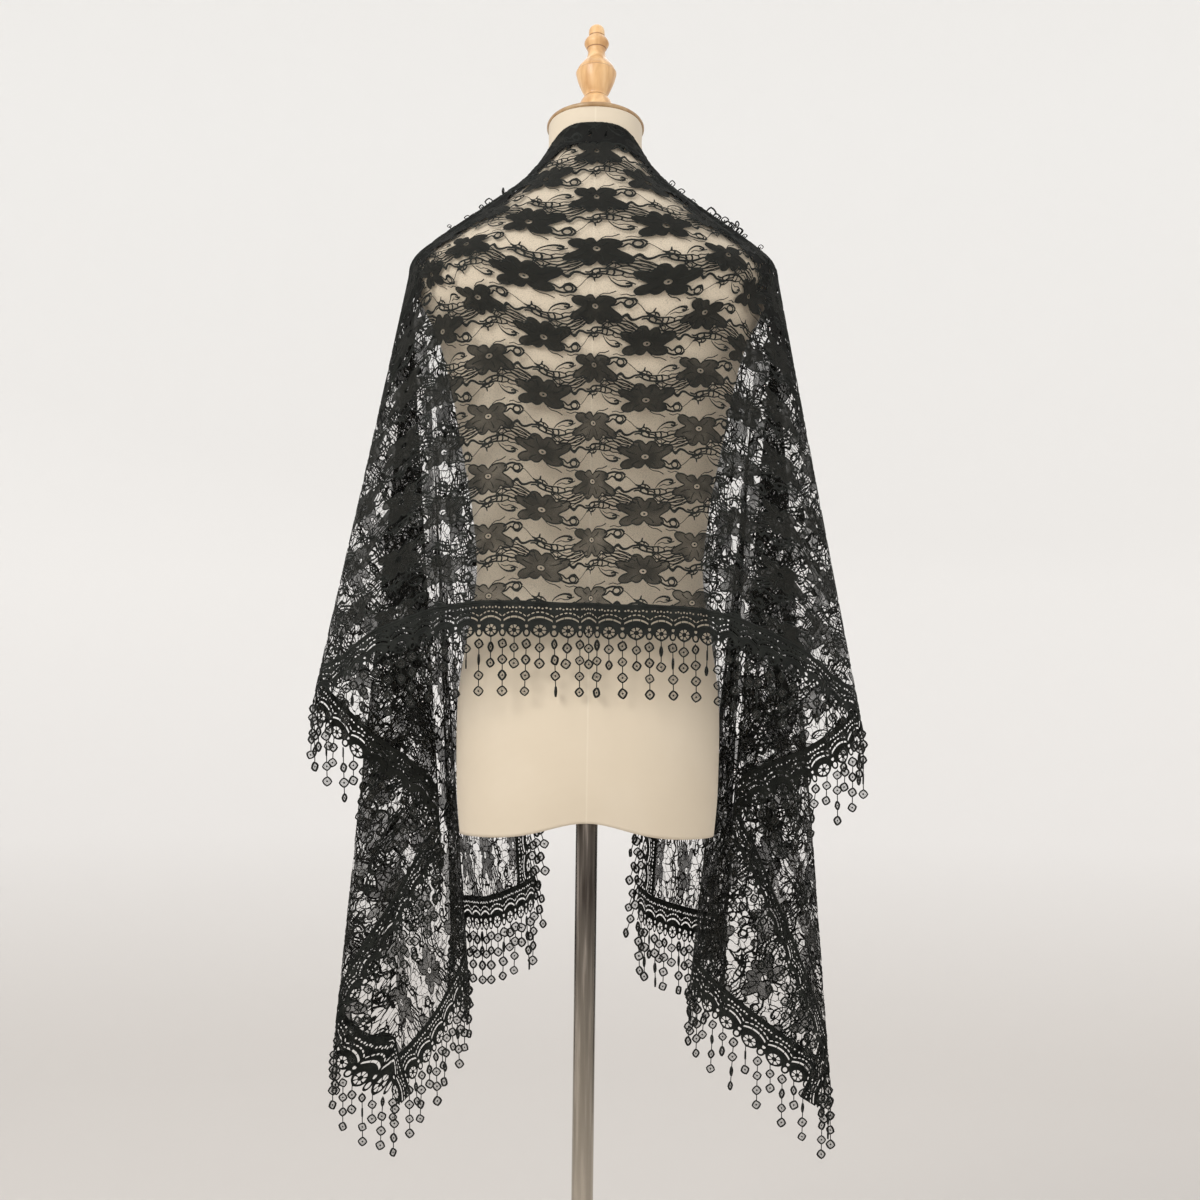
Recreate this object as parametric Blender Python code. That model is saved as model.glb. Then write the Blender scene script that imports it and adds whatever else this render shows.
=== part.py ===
"""Lace shawl with a ring fringe, draped over the shoulders of a limbless dress form on a pole stand.

Metres, +Z up, the stand's axis on Z and the floor at Z = 0. The wearer's back faces -Y.
The shawl is one rectangle of lace with a trim band and a fringe on its four edges. Its upper edge
lies round the neck and runs down both fronts. From each shoulder tip the cloth falls in folds.
"""

import functools
import math
from collections import namedtuple

import bpy
import numpy as np
from mathutils import Matrix, Vector

# Stand
BASE_RADIUS = 0.150
BASE_THICKNESS = 0.010
BASE_EDGE = 0.003
COLLAR_RADIUS = 0.022
COLLAR_HEIGHT = 0.030
POLE_RADIUS = 0.0125
ROUND_SIDES = 48
POLE_SIDES = 32
FINIAL_SIDES = 24
GAP = 0.0003
SHARP_ANGLE = math.radians(40)

# Form
FORM_SIDES = 36
FORM_ROUNDNESS = 2.2
SECTION_STEPS = 2
NOTCH_HEIGHT = 0.020
NOTCH_HALF_WIDTH = 0.060
NOTCH_FADE = 0.10
SEAT_RADIUS = 0.030
CAP_RADIUS = 0.0565
CAP_THICKNESS = 0.006
CAP_EDGE = 0.002
NECK_TILT = 22.0
NECK_LEAN = math.radians(NECK_TILT)

# Shawl
CLOTH = 0.0015
TRIM_WIDTH = 0.050
TRIM_MOST = 0.085
FRINGE_LENGTH = 0.058
SEAM_GAP = 0.0017
CUT_GAP = 0.012
CLOTH_CLEARANCE = 0.0040
NECK_TRIM_CLEARANCE = 0.0014
COLLAR_TOP_Z = 1.484
COLLAR_DIP = 0.030
NECK_TRIM_DEPTH = 0.026
TIP_Z = 1.328
BACK_DROP = 0.085
FRONT_DROP = 0.130
YOKE_ROWS = 10
FALL_ROWS = 5
BAND_ROWS = 3
FOLD_STEPS = 3
NEARBY = 0.02
EDGE_NEARBY = 0.05

# Levels of the form from its hem to the top of its neck: the middle of the level, how far it leans
# forward, its half width, and how far it reaches behind and in front of its middle.
Section = namedtuple("Section", "z y tilt half_width back front")
FORM = (
    Section(0.690, 0.000, 0.0, 0.146, 0.111, 0.090),
    Section(0.745, 0.000, 0.0, 0.150, 0.119, 0.095),
    Section(0.840, 0.000, 0.0, 0.150, 0.121, 0.098),
    Section(0.910, 0.000, 0.0, 0.141, 0.109, 0.096),
    Section(0.985, 0.000, 0.0, 0.130, 0.091, 0.091),
    Section(1.060, 0.000, 0.0, 0.136, 0.090, 0.098),
    Section(1.127, 0.000, 0.0, 0.148, 0.097, 0.116),
    Section(1.190, 0.000, 0.0, 0.160, 0.105, 0.133),
    Section(1.246, 0.000, 0.0, 0.174, 0.109, 0.130),
    Section(1.282, 0.000, 0.0, 0.190, 0.108, 0.115),
    Section(1.308, 0.000, 0.0, 0.203, 0.106, 0.101),
    Section(1.328, 0.000, 0.0, 0.208, 0.103, 0.090),
    Section(1.345, 0.000, 0.0, 0.202, 0.099, 0.082),
    Section(1.361, 0.000, 0.0, 0.183, 0.094, 0.076),
    Section(1.379, 0.001, 1.0, 0.156, 0.088, 0.071),
    Section(1.396, 0.002, 2.0, 0.130, 0.081, 0.066),
    Section(1.413, 0.004, 4.0, 0.106, 0.073, 0.061),
    Section(1.430, 0.008, 8.0, 0.084, 0.065, 0.057),
    Section(1.447, 0.014, 13.0, 0.068, 0.059, 0.055),
    Section(1.464, 0.022, 18.0, 0.057, 0.055, 0.054),
    Section(1.484, 0.030, 21.0, 0.054, 0.054, 0.054),
    Section(1.504, 0.0376, NECK_TILT, 0.0545, 0.0545, 0.0545),
)

# Finial, from its foot to its tip.
Turning = namedtuple("Turning", "height radius")
FINIAL = (
    Turning(0.0000, 0.0215),
    Turning(0.0120, 0.0215),
    Turning(0.0200, 0.0206),
    Turning(0.0280, 0.0190),
    Turning(0.0340, 0.0165),
    Turning(0.0380, 0.0134),
    Turning(0.0410, 0.0134),
    Turning(0.0465, 0.0160),
    Turning(0.0535, 0.0188),
    Turning(0.0604, 0.0213),
    Turning(0.0666, 0.0229),
    Turning(0.0709, 0.0237),
    Turning(0.0722, 0.0226),
    Turning(0.0762, 0.0215),
    Turning(0.0814, 0.0183),
    Turning(0.0867, 0.0143),
    Turning(0.0902, 0.0119),
    Turning(0.0954, 0.0104),
    Turning(0.1010, 0.0101),
    Turning(0.1052, 0.0119),
    Turning(0.1112, 0.0145),
    Turning(0.1165, 0.0129),
    Turning(0.1195, 0.0104),
    Turning(0.1213, 0.0089),
    Turning(0.1235, 0.0094),
    Turning(0.1304, 0.0090),
    Turning(0.1345, 0.0066),
    Turning(0.1365, 0.0032),
)

# Folds of each half of the shawl, from the middle of the back round to the front edge. A strand
# of cloth leaves the form at the angle, measured from the middle of the back, and falls straight
# to its point on the hem. The last row is where the fringe of the front edge reaches.
Fold = namedtuple("Fold", "name angle x y z")
LEFT_FOLDS = (
    Fold("centre_back", 0, 0.000, -0.132, 0.905),
    Fold("back", 36, 0.070, -0.130, 0.905),
    Fold("back_side", 62, 0.134, -0.120, 0.903),
    Fold("wing_back", 76, 0.215, -0.087, 0.884),
    Fold("wing_outer", 85, 0.292, -0.042, 0.840),
    Fold("wing_tip", 90, 0.317, 0.000, 0.810),
    Fold("wing_front", 93, 0.262, 0.034, 0.752),
    Fold("inner_fold", 96, 0.172, 0.074, 0.668),
    Fold("front_back", 98, 0.214, 0.112, 0.556),
    Fold("front_outer", 100, 0.303, 0.144, 0.395),
    Fold("corner", 103, 0.232, 0.184, 0.338),
    Fold("second_inner_fold", 108, 0.140, 0.128, 0.478),
    Fold("front_flute", 114, 0.166, 0.256, 0.532),
    Fold("flute_side", 124, 0.116, 0.176, 0.546),
    Fold("front_seam", 140, 0.080, 0.164, 0.561),
    Fold("front_edge", 157, 0.061, 0.120, 0.577),
    Fold("fringe_reach", 165, 0.041, 0.112, 0.577),
)
RIGHT_FOLDS = (
    Fold("centre_back", 0, 0.000, -0.132, 0.905),
    Fold("back", 36, 0.068, -0.130, 0.903),
    Fold("back_side", 62, 0.130, -0.122, 0.899),
    Fold("wing_back", 76, 0.206, -0.092, 0.876),
    Fold("wing_outer", 85, 0.288, -0.048, 0.824),
    Fold("wing_tip", 90, 0.318, -0.006, 0.786),
    Fold("wing_front", 93, 0.268, 0.030, 0.738),
    Fold("inner_fold", 96, 0.170, 0.070, 0.682),
    Fold("front_back", 98, 0.208, 0.108, 0.578),
    Fold("front_outer", 100, 0.272, 0.138, 0.424),
    Fold("corner", 103, 0.292, 0.176, 0.344),
    Fold("second_inner_fold", 108, 0.127, 0.126, 0.474),
    Fold("front_flute", 115, 0.172, 0.250, 0.510),
    Fold("flute_side", 125, 0.114, 0.172, 0.536),
    Fold("front_seam", 141, 0.078, 0.166, 0.548),
    Fold("front_edge", 157, 0.061, 0.121, 0.566),
    Fold("fringe_reach", 165, 0.043, 0.113, 0.566),
)
FOLD_NAMES = [fold.name for fold in LEFT_FOLDS]

# Colour, roughness and metallic value.
BLACK_LACE = ("black_lace", (0.008, 0.008, 0.008), 0.75, 0.0)
BLACK_TRIM = ("black_trim", (0.006, 0.006, 0.006), 0.65, 0.0)
BLACK_FRINGE = ("black_fringe", (0.012, 0.012, 0.012), 0.60, 0.0)
FORM_JERSEY = ("form_jersey", (0.76, 0.66, 0.52), 0.90, 0.0)
LIGHT_WOOD = ("light_wood", (0.80, 0.52, 0.25), 0.40, 0.0)
CHROME = ("chrome_tube", (0.42, 0.38, 0.34), 0.18, 1.0)


def clear_scene():
    for obj in list(bpy.data.objects):
        bpy.data.objects.remove(obj)


def material(spec):
    name, colour, roughness, metallic = spec
    made = bpy.data.materials.get(name) or bpy.data.materials.new(name)
    made.use_nodes = True
    shader = made.node_tree.nodes["Principled BSDF"]
    shader.inputs["Base Color"].default_value = (*colour, 1.0)
    shader.inputs["Roughness"].default_value = roughness
    shader.inputs["Metallic"].default_value = metallic
    return made


def add_object(name, points, faces, spec):
    mesh = bpy.data.meshes.new(name)
    mesh.from_pydata([tuple(point) for point in points], [], faces)
    mesh.materials.append(material(spec))
    mesh.shade_smooth()
    mesh.set_sharp_from_angle(angle=SHARP_ANGLE)
    obj = bpy.data.objects.new(name, mesh)
    bpy.context.scene.collection.objects.link(obj)
    return obj


def spline(table, position):
    """The table's row at a fractional position, on a smooth curve through its rows."""
    last = len(table) - 1
    first = min(max(int(math.floor(position)), 0), last - 1)
    share = position - first
    before = table[max(first - 1, 0)]
    start = table[first]
    end = table[first + 1]
    after = table[min(first + 2, last)]
    leave = (end - before) / 2
    arrive = (after - start) / 2
    return (
        start * (2 * share**3 - 3 * share**2 + 1)
        + leave * (share**3 - 2 * share**2 + share)
        + end * (3 * share**2 - 2 * share**3)
        + arrive * (share**3 - share**2)
    )


FORM_TABLE = np.array(FORM)
FORM_HEIGHTS = FORM_TABLE[:, 0]
LAST_LEVEL = len(FORM) - 1


def level_at(z):
    return float(np.interp(z, FORM_HEIGHTS, range(len(FORM))))


def rounded(value):
    return math.copysign(abs(value) ** (2 / FORM_ROUNDNESS), value)


def form_point(level, angle):
    """A point on the form, at an angle from the middle of its back towards +X."""
    z, y, tilt, half_width, back, front = spline(FORM_TABLE, level)
    across = half_width * rounded(math.sin(angle))
    reach = back if math.cos(angle) > 0 else front
    depth = -reach * rounded(math.cos(angle))
    lean = math.radians(tilt)
    return Vector((across, y + depth * math.cos(lean), z - depth * math.sin(lean)))


def outside_form(level, angle, clearance):
    """The point of the form moved out along its surface's normal."""
    around = form_point(level, angle + NEARBY) - form_point(level, angle - NEARBY)
    up = form_point(min(level + NEARBY, LAST_LEVEL), angle) - form_point(level - NEARBY, angle)
    return form_point(level, angle) + clearance * around.cross(up).normalized()


# ---------------------------------------------------------------- stand and form


def ring_faces(lower, upper, sides):
    """The faces between two rings of points that start at these indices."""
    for side in range(sides):
        after = (side + 1) % sides
        yield (lower + side, lower + after, upper + after, upper + side)


def turned(name, outline, spec, sides=ROUND_SIDES):
    """A solid of revolution about Z. The outline is (radius, height), from the bottom up."""
    points = []
    faces = []
    for radius, height in outline:
        for side in range(sides):
            angle = math.tau * side / sides
            points.append((radius * math.cos(angle), radius * math.sin(angle), height))
    for row in range(len(outline) - 1):
        faces.extend(ring_faces(row * sides, (row + 1) * sides, sides))
    faces.append(tuple(reversed(range(sides))))
    top = (len(outline) - 1) * sides
    faces.append(tuple(top + side for side in range(sides)))
    return add_object(name, points, faces, spec)


def make_stand():
    turned(
        "stand_base",
        (
            (BASE_RADIUS, 0.0),
            (BASE_RADIUS, BASE_THICKNESS - BASE_EDGE),
            (BASE_RADIUS - BASE_EDGE, BASE_THICKNESS),
            (COLLAR_RADIUS + BASE_EDGE, BASE_THICKNESS),
            (COLLAR_RADIUS, BASE_THICKNESS + BASE_EDGE),
            (COLLAR_RADIUS, BASE_THICKNESS + COLLAR_HEIGHT),
        ),
        CHROME,
    )
    foot = BASE_THICKNESS + COLLAR_HEIGHT + GAP
    head = FORM[0].z + NOTCH_HEIGHT - GAP
    turned("stand_pole", ((POLE_RADIUS, foot), (POLE_RADIUS, head)), CHROME, POLE_SIDES)


def notch(point):
    """The form's hem rises to its middle, between the two thighs, and the rise fades out above."""
    height = point.z - FORM[0].z
    fade = max(0.0, 1.0 - height / NOTCH_FADE)
    rise = NOTCH_HEIGHT * math.exp(-((point.x / NOTCH_HALF_WIDTH) ** 2)) * fade
    return Vector((point.x, point.y, point.z + rise))


def make_form():
    points = []
    faces = []
    rings = LAST_LEVEL * SECTION_STEPS + 1
    for ring in range(rings):
        for side in range(FORM_SIDES):
            points.append(notch(form_point(ring / SECTION_STEPS, math.tau * side / FORM_SIDES)))
    for ring in range(rings - 1):
        faces.extend(ring_faces(ring * FORM_SIDES, (ring + 1) * FORM_SIDES, FORM_SIDES))
    seat = len(points)
    for side in range(FORM_SIDES):
        angle = math.tau * side / FORM_SIDES
        points.append(
            (SEAT_RADIUS * math.sin(angle), -SEAT_RADIUS * math.cos(angle), FORM[0].z + NOTCH_HEIGHT)
        )
    faces.extend(ring_faces(seat, 0, FORM_SIDES))
    faces.append(tuple(seat + side for side in reversed(range(FORM_SIDES))))
    top = (rings - 1) * FORM_SIDES
    faces.append(tuple(top + side for side in range(FORM_SIDES)))
    add_object("form_torso", points, faces, FORM_JERSEY)


def on_neck(rise):
    """A place on the leaning neck's axis, above its top."""
    top = Vector((0.0, FORM[-1].y, FORM[-1].z))
    axis = Vector((0.0, math.sin(NECK_LEAN), math.cos(NECK_LEAN)))
    return Matrix.Translation(top + rise * axis) @ Matrix.Rotation(-NECK_LEAN, 4, "X")


def make_neck_top():
    cap = turned(
        "neck_cap",
        (
            (CAP_RADIUS - CAP_EDGE, 0.0),
            (CAP_RADIUS, CAP_EDGE),
            (CAP_RADIUS, CAP_THICKNESS - CAP_EDGE),
            (CAP_RADIUS - CAP_EDGE, CAP_THICKNESS),
        ),
        LIGHT_WOOD,
    )
    cap.matrix_world = on_neck(GAP)
    finial = turned("finial", [(row.radius, row.height) for row in FINIAL], LIGHT_WOOD, FINIAL_SIDES)
    finial.matrix_world = on_neck(CAP_THICKNESS + 2 * GAP)


# ---------------------------------------------------------------- shawl

Strand = namedtuple("Strand", "points lengths edge_slant")


def fold_table(folds):
    return np.array([fold[1:] for fold in folds], float)


TABLES = {-1: fold_table(LEFT_FOLDS), 1: fold_table(RIGHT_FOLDS)}


def collar_height(angle):
    """The collar's edge, which runs lower beside the neck than behind it."""
    beside = math.sin(min(abs(angle), math.pi / 2))
    return COLLAR_TOP_Z - COLLAR_DIP * beside**4


def leaving_height(angle):
    """Where the cloth leaves the form: at the widest level on the shoulder, lower behind and in front."""
    drop = BACK_DROP if math.cos(angle) > 0 else FRONT_DROP
    return TIP_Z - drop * math.cos(angle) ** 2


def half_strand(table, position):
    angle_deg, x, y, z = spline(table, position)
    angle = math.radians(angle_deg)
    points = []
    for height in np.linspace(collar_height(angle), leaving_height(angle), YOKE_ROWS + 1):
        points.append(outside_form(level_at(height), angle, CLOTH_CLEARANCE))
    top = points[-1]
    hem = Vector((x, y, z))
    for row in range(1, FALL_ROWS + 1):
        points.append(top.lerp(hem, row / FALL_ROWS))
    return points


@functools.cache
def strand(place):
    """The strand of cloth at a place: 0 is the middle of the back, negative on the left."""
    side = -1 if place < 0 else 1
    table = TABLES[side]
    position = abs(place)
    points = half_strand(table, position)
    ahead = Vector(spline(table, position + EDGE_NEARBY)[1:])
    behind = Vector(spline(table, position - EDGE_NEARBY)[1:])
    edge = ahead - behind
    fall = points[-1] - points[-2]
    edge_slant = edge.cross(fall).length / (edge.length * fall.length)
    points = [Vector((side * point.x, point.y, point.z)) for point in points]
    steps = [(b - a).length for a, b in zip(points, points[1:])]
    return Strand(points, [0.0, *np.cumsum(steps)], edge_slant)


def along(line, length):
    """The point of a strand this far from the collar."""
    row = int(np.searchsorted(line.lengths, length, side="right")) - 1
    row = min(max(row, 0), len(line.points) - 2)
    share = (length - line.lengths[row]) / (line.lengths[row + 1] - line.lengths[row])
    return line.points[row].lerp(line.points[row + 1], share)


def collar(line):
    return line.lengths[0]


def hem(line):
    return line.lengths[-1]


def trim_start(line):
    """How far down a strand the trim begins, as wide a band across a slanting edge as a straight one."""
    return hem(line) - min(TRIM_WIDTH / line.edge_slant, TRIM_MOST)


def above_trim(line):
    return trim_start(line) - SEAM_GAP / line.edge_slant


def places(first, last):
    """Places from one fold to another, evenly stepped, with a small cut at both ends."""
    inner = [step / FOLD_STEPS for step in range(first * FOLD_STEPS + 1, last * FOLD_STEPS)]
    return [first + CUT_GAP, *inner, last - CUT_GAP]


def facing(place, length):
    """The cloth's outward direction at a place and a distance down its strand."""
    line = strand(place)
    share = length / line.lengths[-1]
    neighbours = (strand(place + NEARBY), strand(place - NEARBY))
    ahead, behind = (along(near, share * near.lengths[-1]) for near in neighbours)
    down = along(line, length + CLOTH) - along(line, length - CLOTH)
    return down.cross(ahead - behind).normalized()


def wall(name, columns, spec):
    """A closed sheet of the cloth's thickness. Its columns hold rows of (middle point, direction)."""
    rows = len(columns[0])
    last = len(columns) - 1
    points = []
    for offset in (-CLOTH / 2, CLOTH / 2):
        points.extend(middle + offset * out for column in columns for middle, out in column)
    back = rows * len(columns)
    faces = []
    for column in range(last):
        for row in range(rows - 1):
            corner = column * rows + row
            beyond = corner + rows
            for half in ((corner, beyond, beyond + 1), (corner, beyond + 1, corner + 1)):
                faces.append(half)
                faces.append(tuple(back + index for index in reversed(half)))
    ring = [column * rows for column in range(last + 1)]
    ring += [last * rows + row for row in range(1, rows)]
    ring += [column * rows + rows - 1 for column in range(last - 1, -1, -1)]
    ring += [row for row in range(rows - 2, 0, -1)]
    for index, after in zip(ring, ring[1:] + ring[:1]):
        faces.append((index, back + index, back + after, after))
    return add_object(name, points, faces, spec)


def stretch(name, first, last, start, end, spec, band_rows):
    """A piece of cloth between two places, from one distance down its strands to another.

    A band has its own few rows. A panel takes the strands' rows, so that it lies on the form.
    """
    columns = []
    for place in places(first, last):
        line = strand(place)
        a = start(line)
        b = end(line)
        inner = [length for length in line.lengths if a + SEAM_GAP < length < b - SEAM_GAP]
        if band_rows:
            lengths = np.linspace(a, b, band_rows)
        else:
            rows = YOKE_ROWS + FALL_ROWS
            shares = np.linspace(0, 1, len(inner) + 2)
            lengths = np.interp(np.linspace(0, 1, rows), shares, [a, *inner, b])
        columns.append([(along(line, length), facing(place, length)) for length in lengths])
    return wall(name, columns, spec)


def fringe(name, first, last):
    """A plain strip that hangs straight down from the hem, as long as the fringe."""
    columns = []
    for place in places(first, last):
        line = strand(place)
        out = facing(place, hem(line))
        top = along(line, hem(line) + SEAM_GAP / line.edge_slant)
        columns.append([(top, out), (top - Vector((0.0, 0.0, FRINGE_LENGTH)), out)])
    return wall(name, columns, BLACK_FRINGE)


def make_neck_trim(edge):
    """The upper edge's trim, turned in between the collar and the neck."""
    columns = []
    for place in places(-edge, edge):
        table = TABLES[-1 if place < 0 else 1]
        angle = math.copysign(math.radians(spline(table, abs(place))[0]), place)
        column = []
        top = collar_height(angle)
        for height in np.linspace(top, top - NECK_TRIM_DEPTH, BAND_ROWS):
            level = level_at(height)
            middle = outside_form(level, angle, NECK_TRIM_CLEARANCE)
            column.append((middle, (middle - form_point(level, angle)).normalized()))
        columns.append(column)
    wall("trim_neck", columns, BLACK_TRIM)


def make_shawl():
    back_side, corner, seam, edge, reach = (
        FOLD_NAMES.index(name)
        for name in ("back_side", "corner", "front_seam", "front_edge", "fringe_reach")
    )
    stretch("lace_back", -back_side, back_side, collar, above_trim, BLACK_LACE, 0)
    stretch("trim_hem", -corner, corner, trim_start, hem, BLACK_TRIM, BAND_ROWS)
    fringe("fringe_hem", -corner, corner)
    for side, name in ((-1, "left"), (1, "right")):
        spans = {
            "lace_front_": (back_side, seam, collar, above_trim, BLACK_LACE, 0),
            "trim_front_": (seam, edge, collar, above_trim, BLACK_TRIM, 0),
            "trim_end_": (corner, edge, trim_start, hem, BLACK_TRIM, BAND_ROWS),
            "fringe_front_": (edge, reach, collar, hem, BLACK_FRINGE, 0),
        }
        for prefix, (inner, outer, start, end, spec, band_rows) in spans.items():
            first, last = sorted((side * inner, side * outer))
            stretch(prefix + name, first, last, start, end, spec, band_rows)
        fringe("fringe_end_" + name, *sorted((side * corner, side * edge)))
    make_neck_trim(edge)


clear_scene()
make_stand()
make_form()
make_neck_top()
make_shawl()
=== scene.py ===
"""Looks of the lace shawl and of the dress form it is draped over.

The lace is drawn flat, in metres on the cloth: u runs along the shawl's length from the middle of
the back, and v from its upper edge to its lower edge. The drape carries each flat point to its
place on the folds, so that every figure keeps its size wherever the cloth hangs.
"""

import math

import bpy
import numpy as np
from mathutils import Matrix, Vector
from mathutils.bvhtree import BVHTree
from mathutils.geometry import delaunay_2d_cdt


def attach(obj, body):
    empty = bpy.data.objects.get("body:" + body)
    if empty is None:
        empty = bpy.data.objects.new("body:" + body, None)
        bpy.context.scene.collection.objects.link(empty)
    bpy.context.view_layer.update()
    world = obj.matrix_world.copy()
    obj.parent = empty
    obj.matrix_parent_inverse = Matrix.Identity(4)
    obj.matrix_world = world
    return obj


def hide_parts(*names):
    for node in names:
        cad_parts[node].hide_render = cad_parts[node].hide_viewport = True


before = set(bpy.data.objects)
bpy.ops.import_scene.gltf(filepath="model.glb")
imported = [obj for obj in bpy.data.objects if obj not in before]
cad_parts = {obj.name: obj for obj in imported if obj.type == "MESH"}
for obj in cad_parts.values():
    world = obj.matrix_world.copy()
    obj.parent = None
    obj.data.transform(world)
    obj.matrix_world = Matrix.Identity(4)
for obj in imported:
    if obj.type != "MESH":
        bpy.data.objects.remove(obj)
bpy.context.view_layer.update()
rng = np.random.default_rng(7)

MM = 0.001

# ---------------------------------------------------------------- sizes shared with the part

FORM_ROUNDNESS = 2.2
NOTCH_HEIGHT = 0.020
NOTCH_HALF_WIDTH = 0.060
NOTCH_FADE = 0.10
SEAT_RADIUS = 0.030
CAP_RADIUS = 0.0565
CAP_THICKNESS = 0.006
CAP_EDGE = 0.002
GAP = 0.0003
NECK_TILT = 22.0
NECK_LEAN = math.radians(NECK_TILT)
CLOTH_CLEARANCE = 0.0040
NECK_TRIM_CLEARANCE = 0.0014
COLLAR_TOP_Z = 1.484
COLLAR_DIP = 0.030
NECK_TRIM_DEPTH = 0.026
TIP_Z = 1.328
BACK_DROP = 0.085
FRONT_DROP = 0.130

# Levels of the form: height, middle, forward lean, half width, reach behind and in front.
FORM = np.array([
    (0.690, 0.000, 0.0, 0.146, 0.111, 0.090),
    (0.745, 0.000, 0.0, 0.150, 0.119, 0.095),
    (0.840, 0.000, 0.0, 0.150, 0.121, 0.098),
    (0.910, 0.000, 0.0, 0.141, 0.109, 0.096),
    (0.985, 0.000, 0.0, 0.130, 0.091, 0.091),
    (1.060, 0.000, 0.0, 0.136, 0.090, 0.098),
    (1.127, 0.000, 0.0, 0.148, 0.097, 0.116),
    (1.190, 0.000, 0.0, 0.160, 0.105, 0.133),
    (1.246, 0.000, 0.0, 0.174, 0.109, 0.130),
    (1.282, 0.000, 0.0, 0.190, 0.108, 0.115),
    (1.308, 0.000, 0.0, 0.203, 0.106, 0.101),
    (1.328, 0.000, 0.0, 0.208, 0.103, 0.090),
    (1.345, 0.000, 0.0, 0.202, 0.099, 0.082),
    (1.361, 0.000, 0.0, 0.183, 0.094, 0.076),
    (1.379, 0.001, 1.0, 0.156, 0.088, 0.071),
    (1.396, 0.002, 2.0, 0.130, 0.081, 0.066),
    (1.413, 0.004, 4.0, 0.106, 0.073, 0.061),
    (1.430, 0.008, 8.0, 0.084, 0.065, 0.057),
    (1.447, 0.014, 13.0, 0.068, 0.059, 0.055),
    (1.464, 0.022, 18.0, 0.057, 0.055, 0.054),
    (1.484, 0.030, 21.0, 0.054, 0.054, 0.054),
    (1.504, 0.0376, NECK_TILT, 0.0545, 0.0545, 0.0545),
])

# Finial, from its foot to its tip: height and radius.
FINIAL = (
    (0.0000, 0.0215),
    (0.0120, 0.0215),
    (0.0200, 0.0206),
    (0.0280, 0.0190),
    (0.0340, 0.0165),
    (0.0380, 0.0134),
    (0.0410, 0.0134),
    (0.0465, 0.0160),
    (0.0535, 0.0188),
    (0.0604, 0.0213),
    (0.0666, 0.0229),
    (0.0709, 0.0237),
    (0.0722, 0.0226),
    (0.0762, 0.0215),
    (0.0814, 0.0183),
    (0.0867, 0.0143),
    (0.0902, 0.0119),
    (0.0954, 0.0104),
    (0.1010, 0.0101),
    (0.1052, 0.0119),
    (0.1112, 0.0145),
    (0.1165, 0.0129),
    (0.1195, 0.0104),
    (0.1213, 0.0089),
    (0.1235, 0.0094),
    (0.1304, 0.0090),
    (0.1345, 0.0066),
    (0.1365, 0.0032),
)

# Folds from the middle of the back to the front edge: the angle where the cloth leaves the form,
# and its point on the hem. Left, then right.
LEFT_FOLDS = np.array([
    (0, 0.000, -0.132, 0.905),
    (36, 0.070, -0.130, 0.905),
    (62, 0.134, -0.120, 0.903),
    (76, 0.215, -0.087, 0.884),
    (85, 0.292, -0.042, 0.840),
    (90, 0.317, 0.000, 0.810),
    (93, 0.262, 0.034, 0.752),
    (96, 0.172, 0.074, 0.668),
    (98, 0.214, 0.112, 0.556),
    (100, 0.303, 0.144, 0.395),
    (103, 0.232, 0.184, 0.338),
    (108, 0.140, 0.128, 0.478),
    (114, 0.166, 0.256, 0.532),
    (124, 0.116, 0.176, 0.546),
    (140, 0.080, 0.164, 0.561),
    (157, 0.061, 0.120, 0.577),
    (165, 0.041, 0.112, 0.577),
])
RIGHT_FOLDS = np.array([
    (0, 0.000, -0.132, 0.905),
    (36, 0.068, -0.130, 0.903),
    (62, 0.130, -0.122, 0.899),
    (76, 0.206, -0.092, 0.876),
    (85, 0.288, -0.048, 0.824),
    (90, 0.318, -0.006, 0.786),
    (93, 0.268, 0.030, 0.738),
    (96, 0.170, 0.070, 0.682),
    (98, 0.208, 0.108, 0.578),
    (100, 0.272, 0.138, 0.424),
    (103, 0.292, 0.176, 0.344),
    (108, 0.127, 0.126, 0.474),
    (115, 0.172, 0.250, 0.510),
    (125, 0.114, 0.172, 0.536),
    (141, 0.078, 0.166, 0.548),
    (157, 0.061, 0.121, 0.566),
    (165, 0.043, 0.113, 0.566),
])
BACK_FOLD = 2
SIDE_FOLD = 5
FRONT_SEAM = 14
FRONT_EDGE = 15

# ---------------------------------------------------------------- the flat shawl

SHAWL_HALF_LENGTH = 1.03
SHAWL_WIDTH = 0.65
TRIM = 0.050
PANEL_U = SHAWL_HALF_LENGTH - TRIM
PANEL_TOP = TRIM
PANEL_BOTTOM = SHAWL_WIDTH - TRIM
NECK_U = 0.16
TURNED_IN = 0.026
HANG_SLOPE = 0.055
SLOPE_REACH = 0.2

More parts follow.
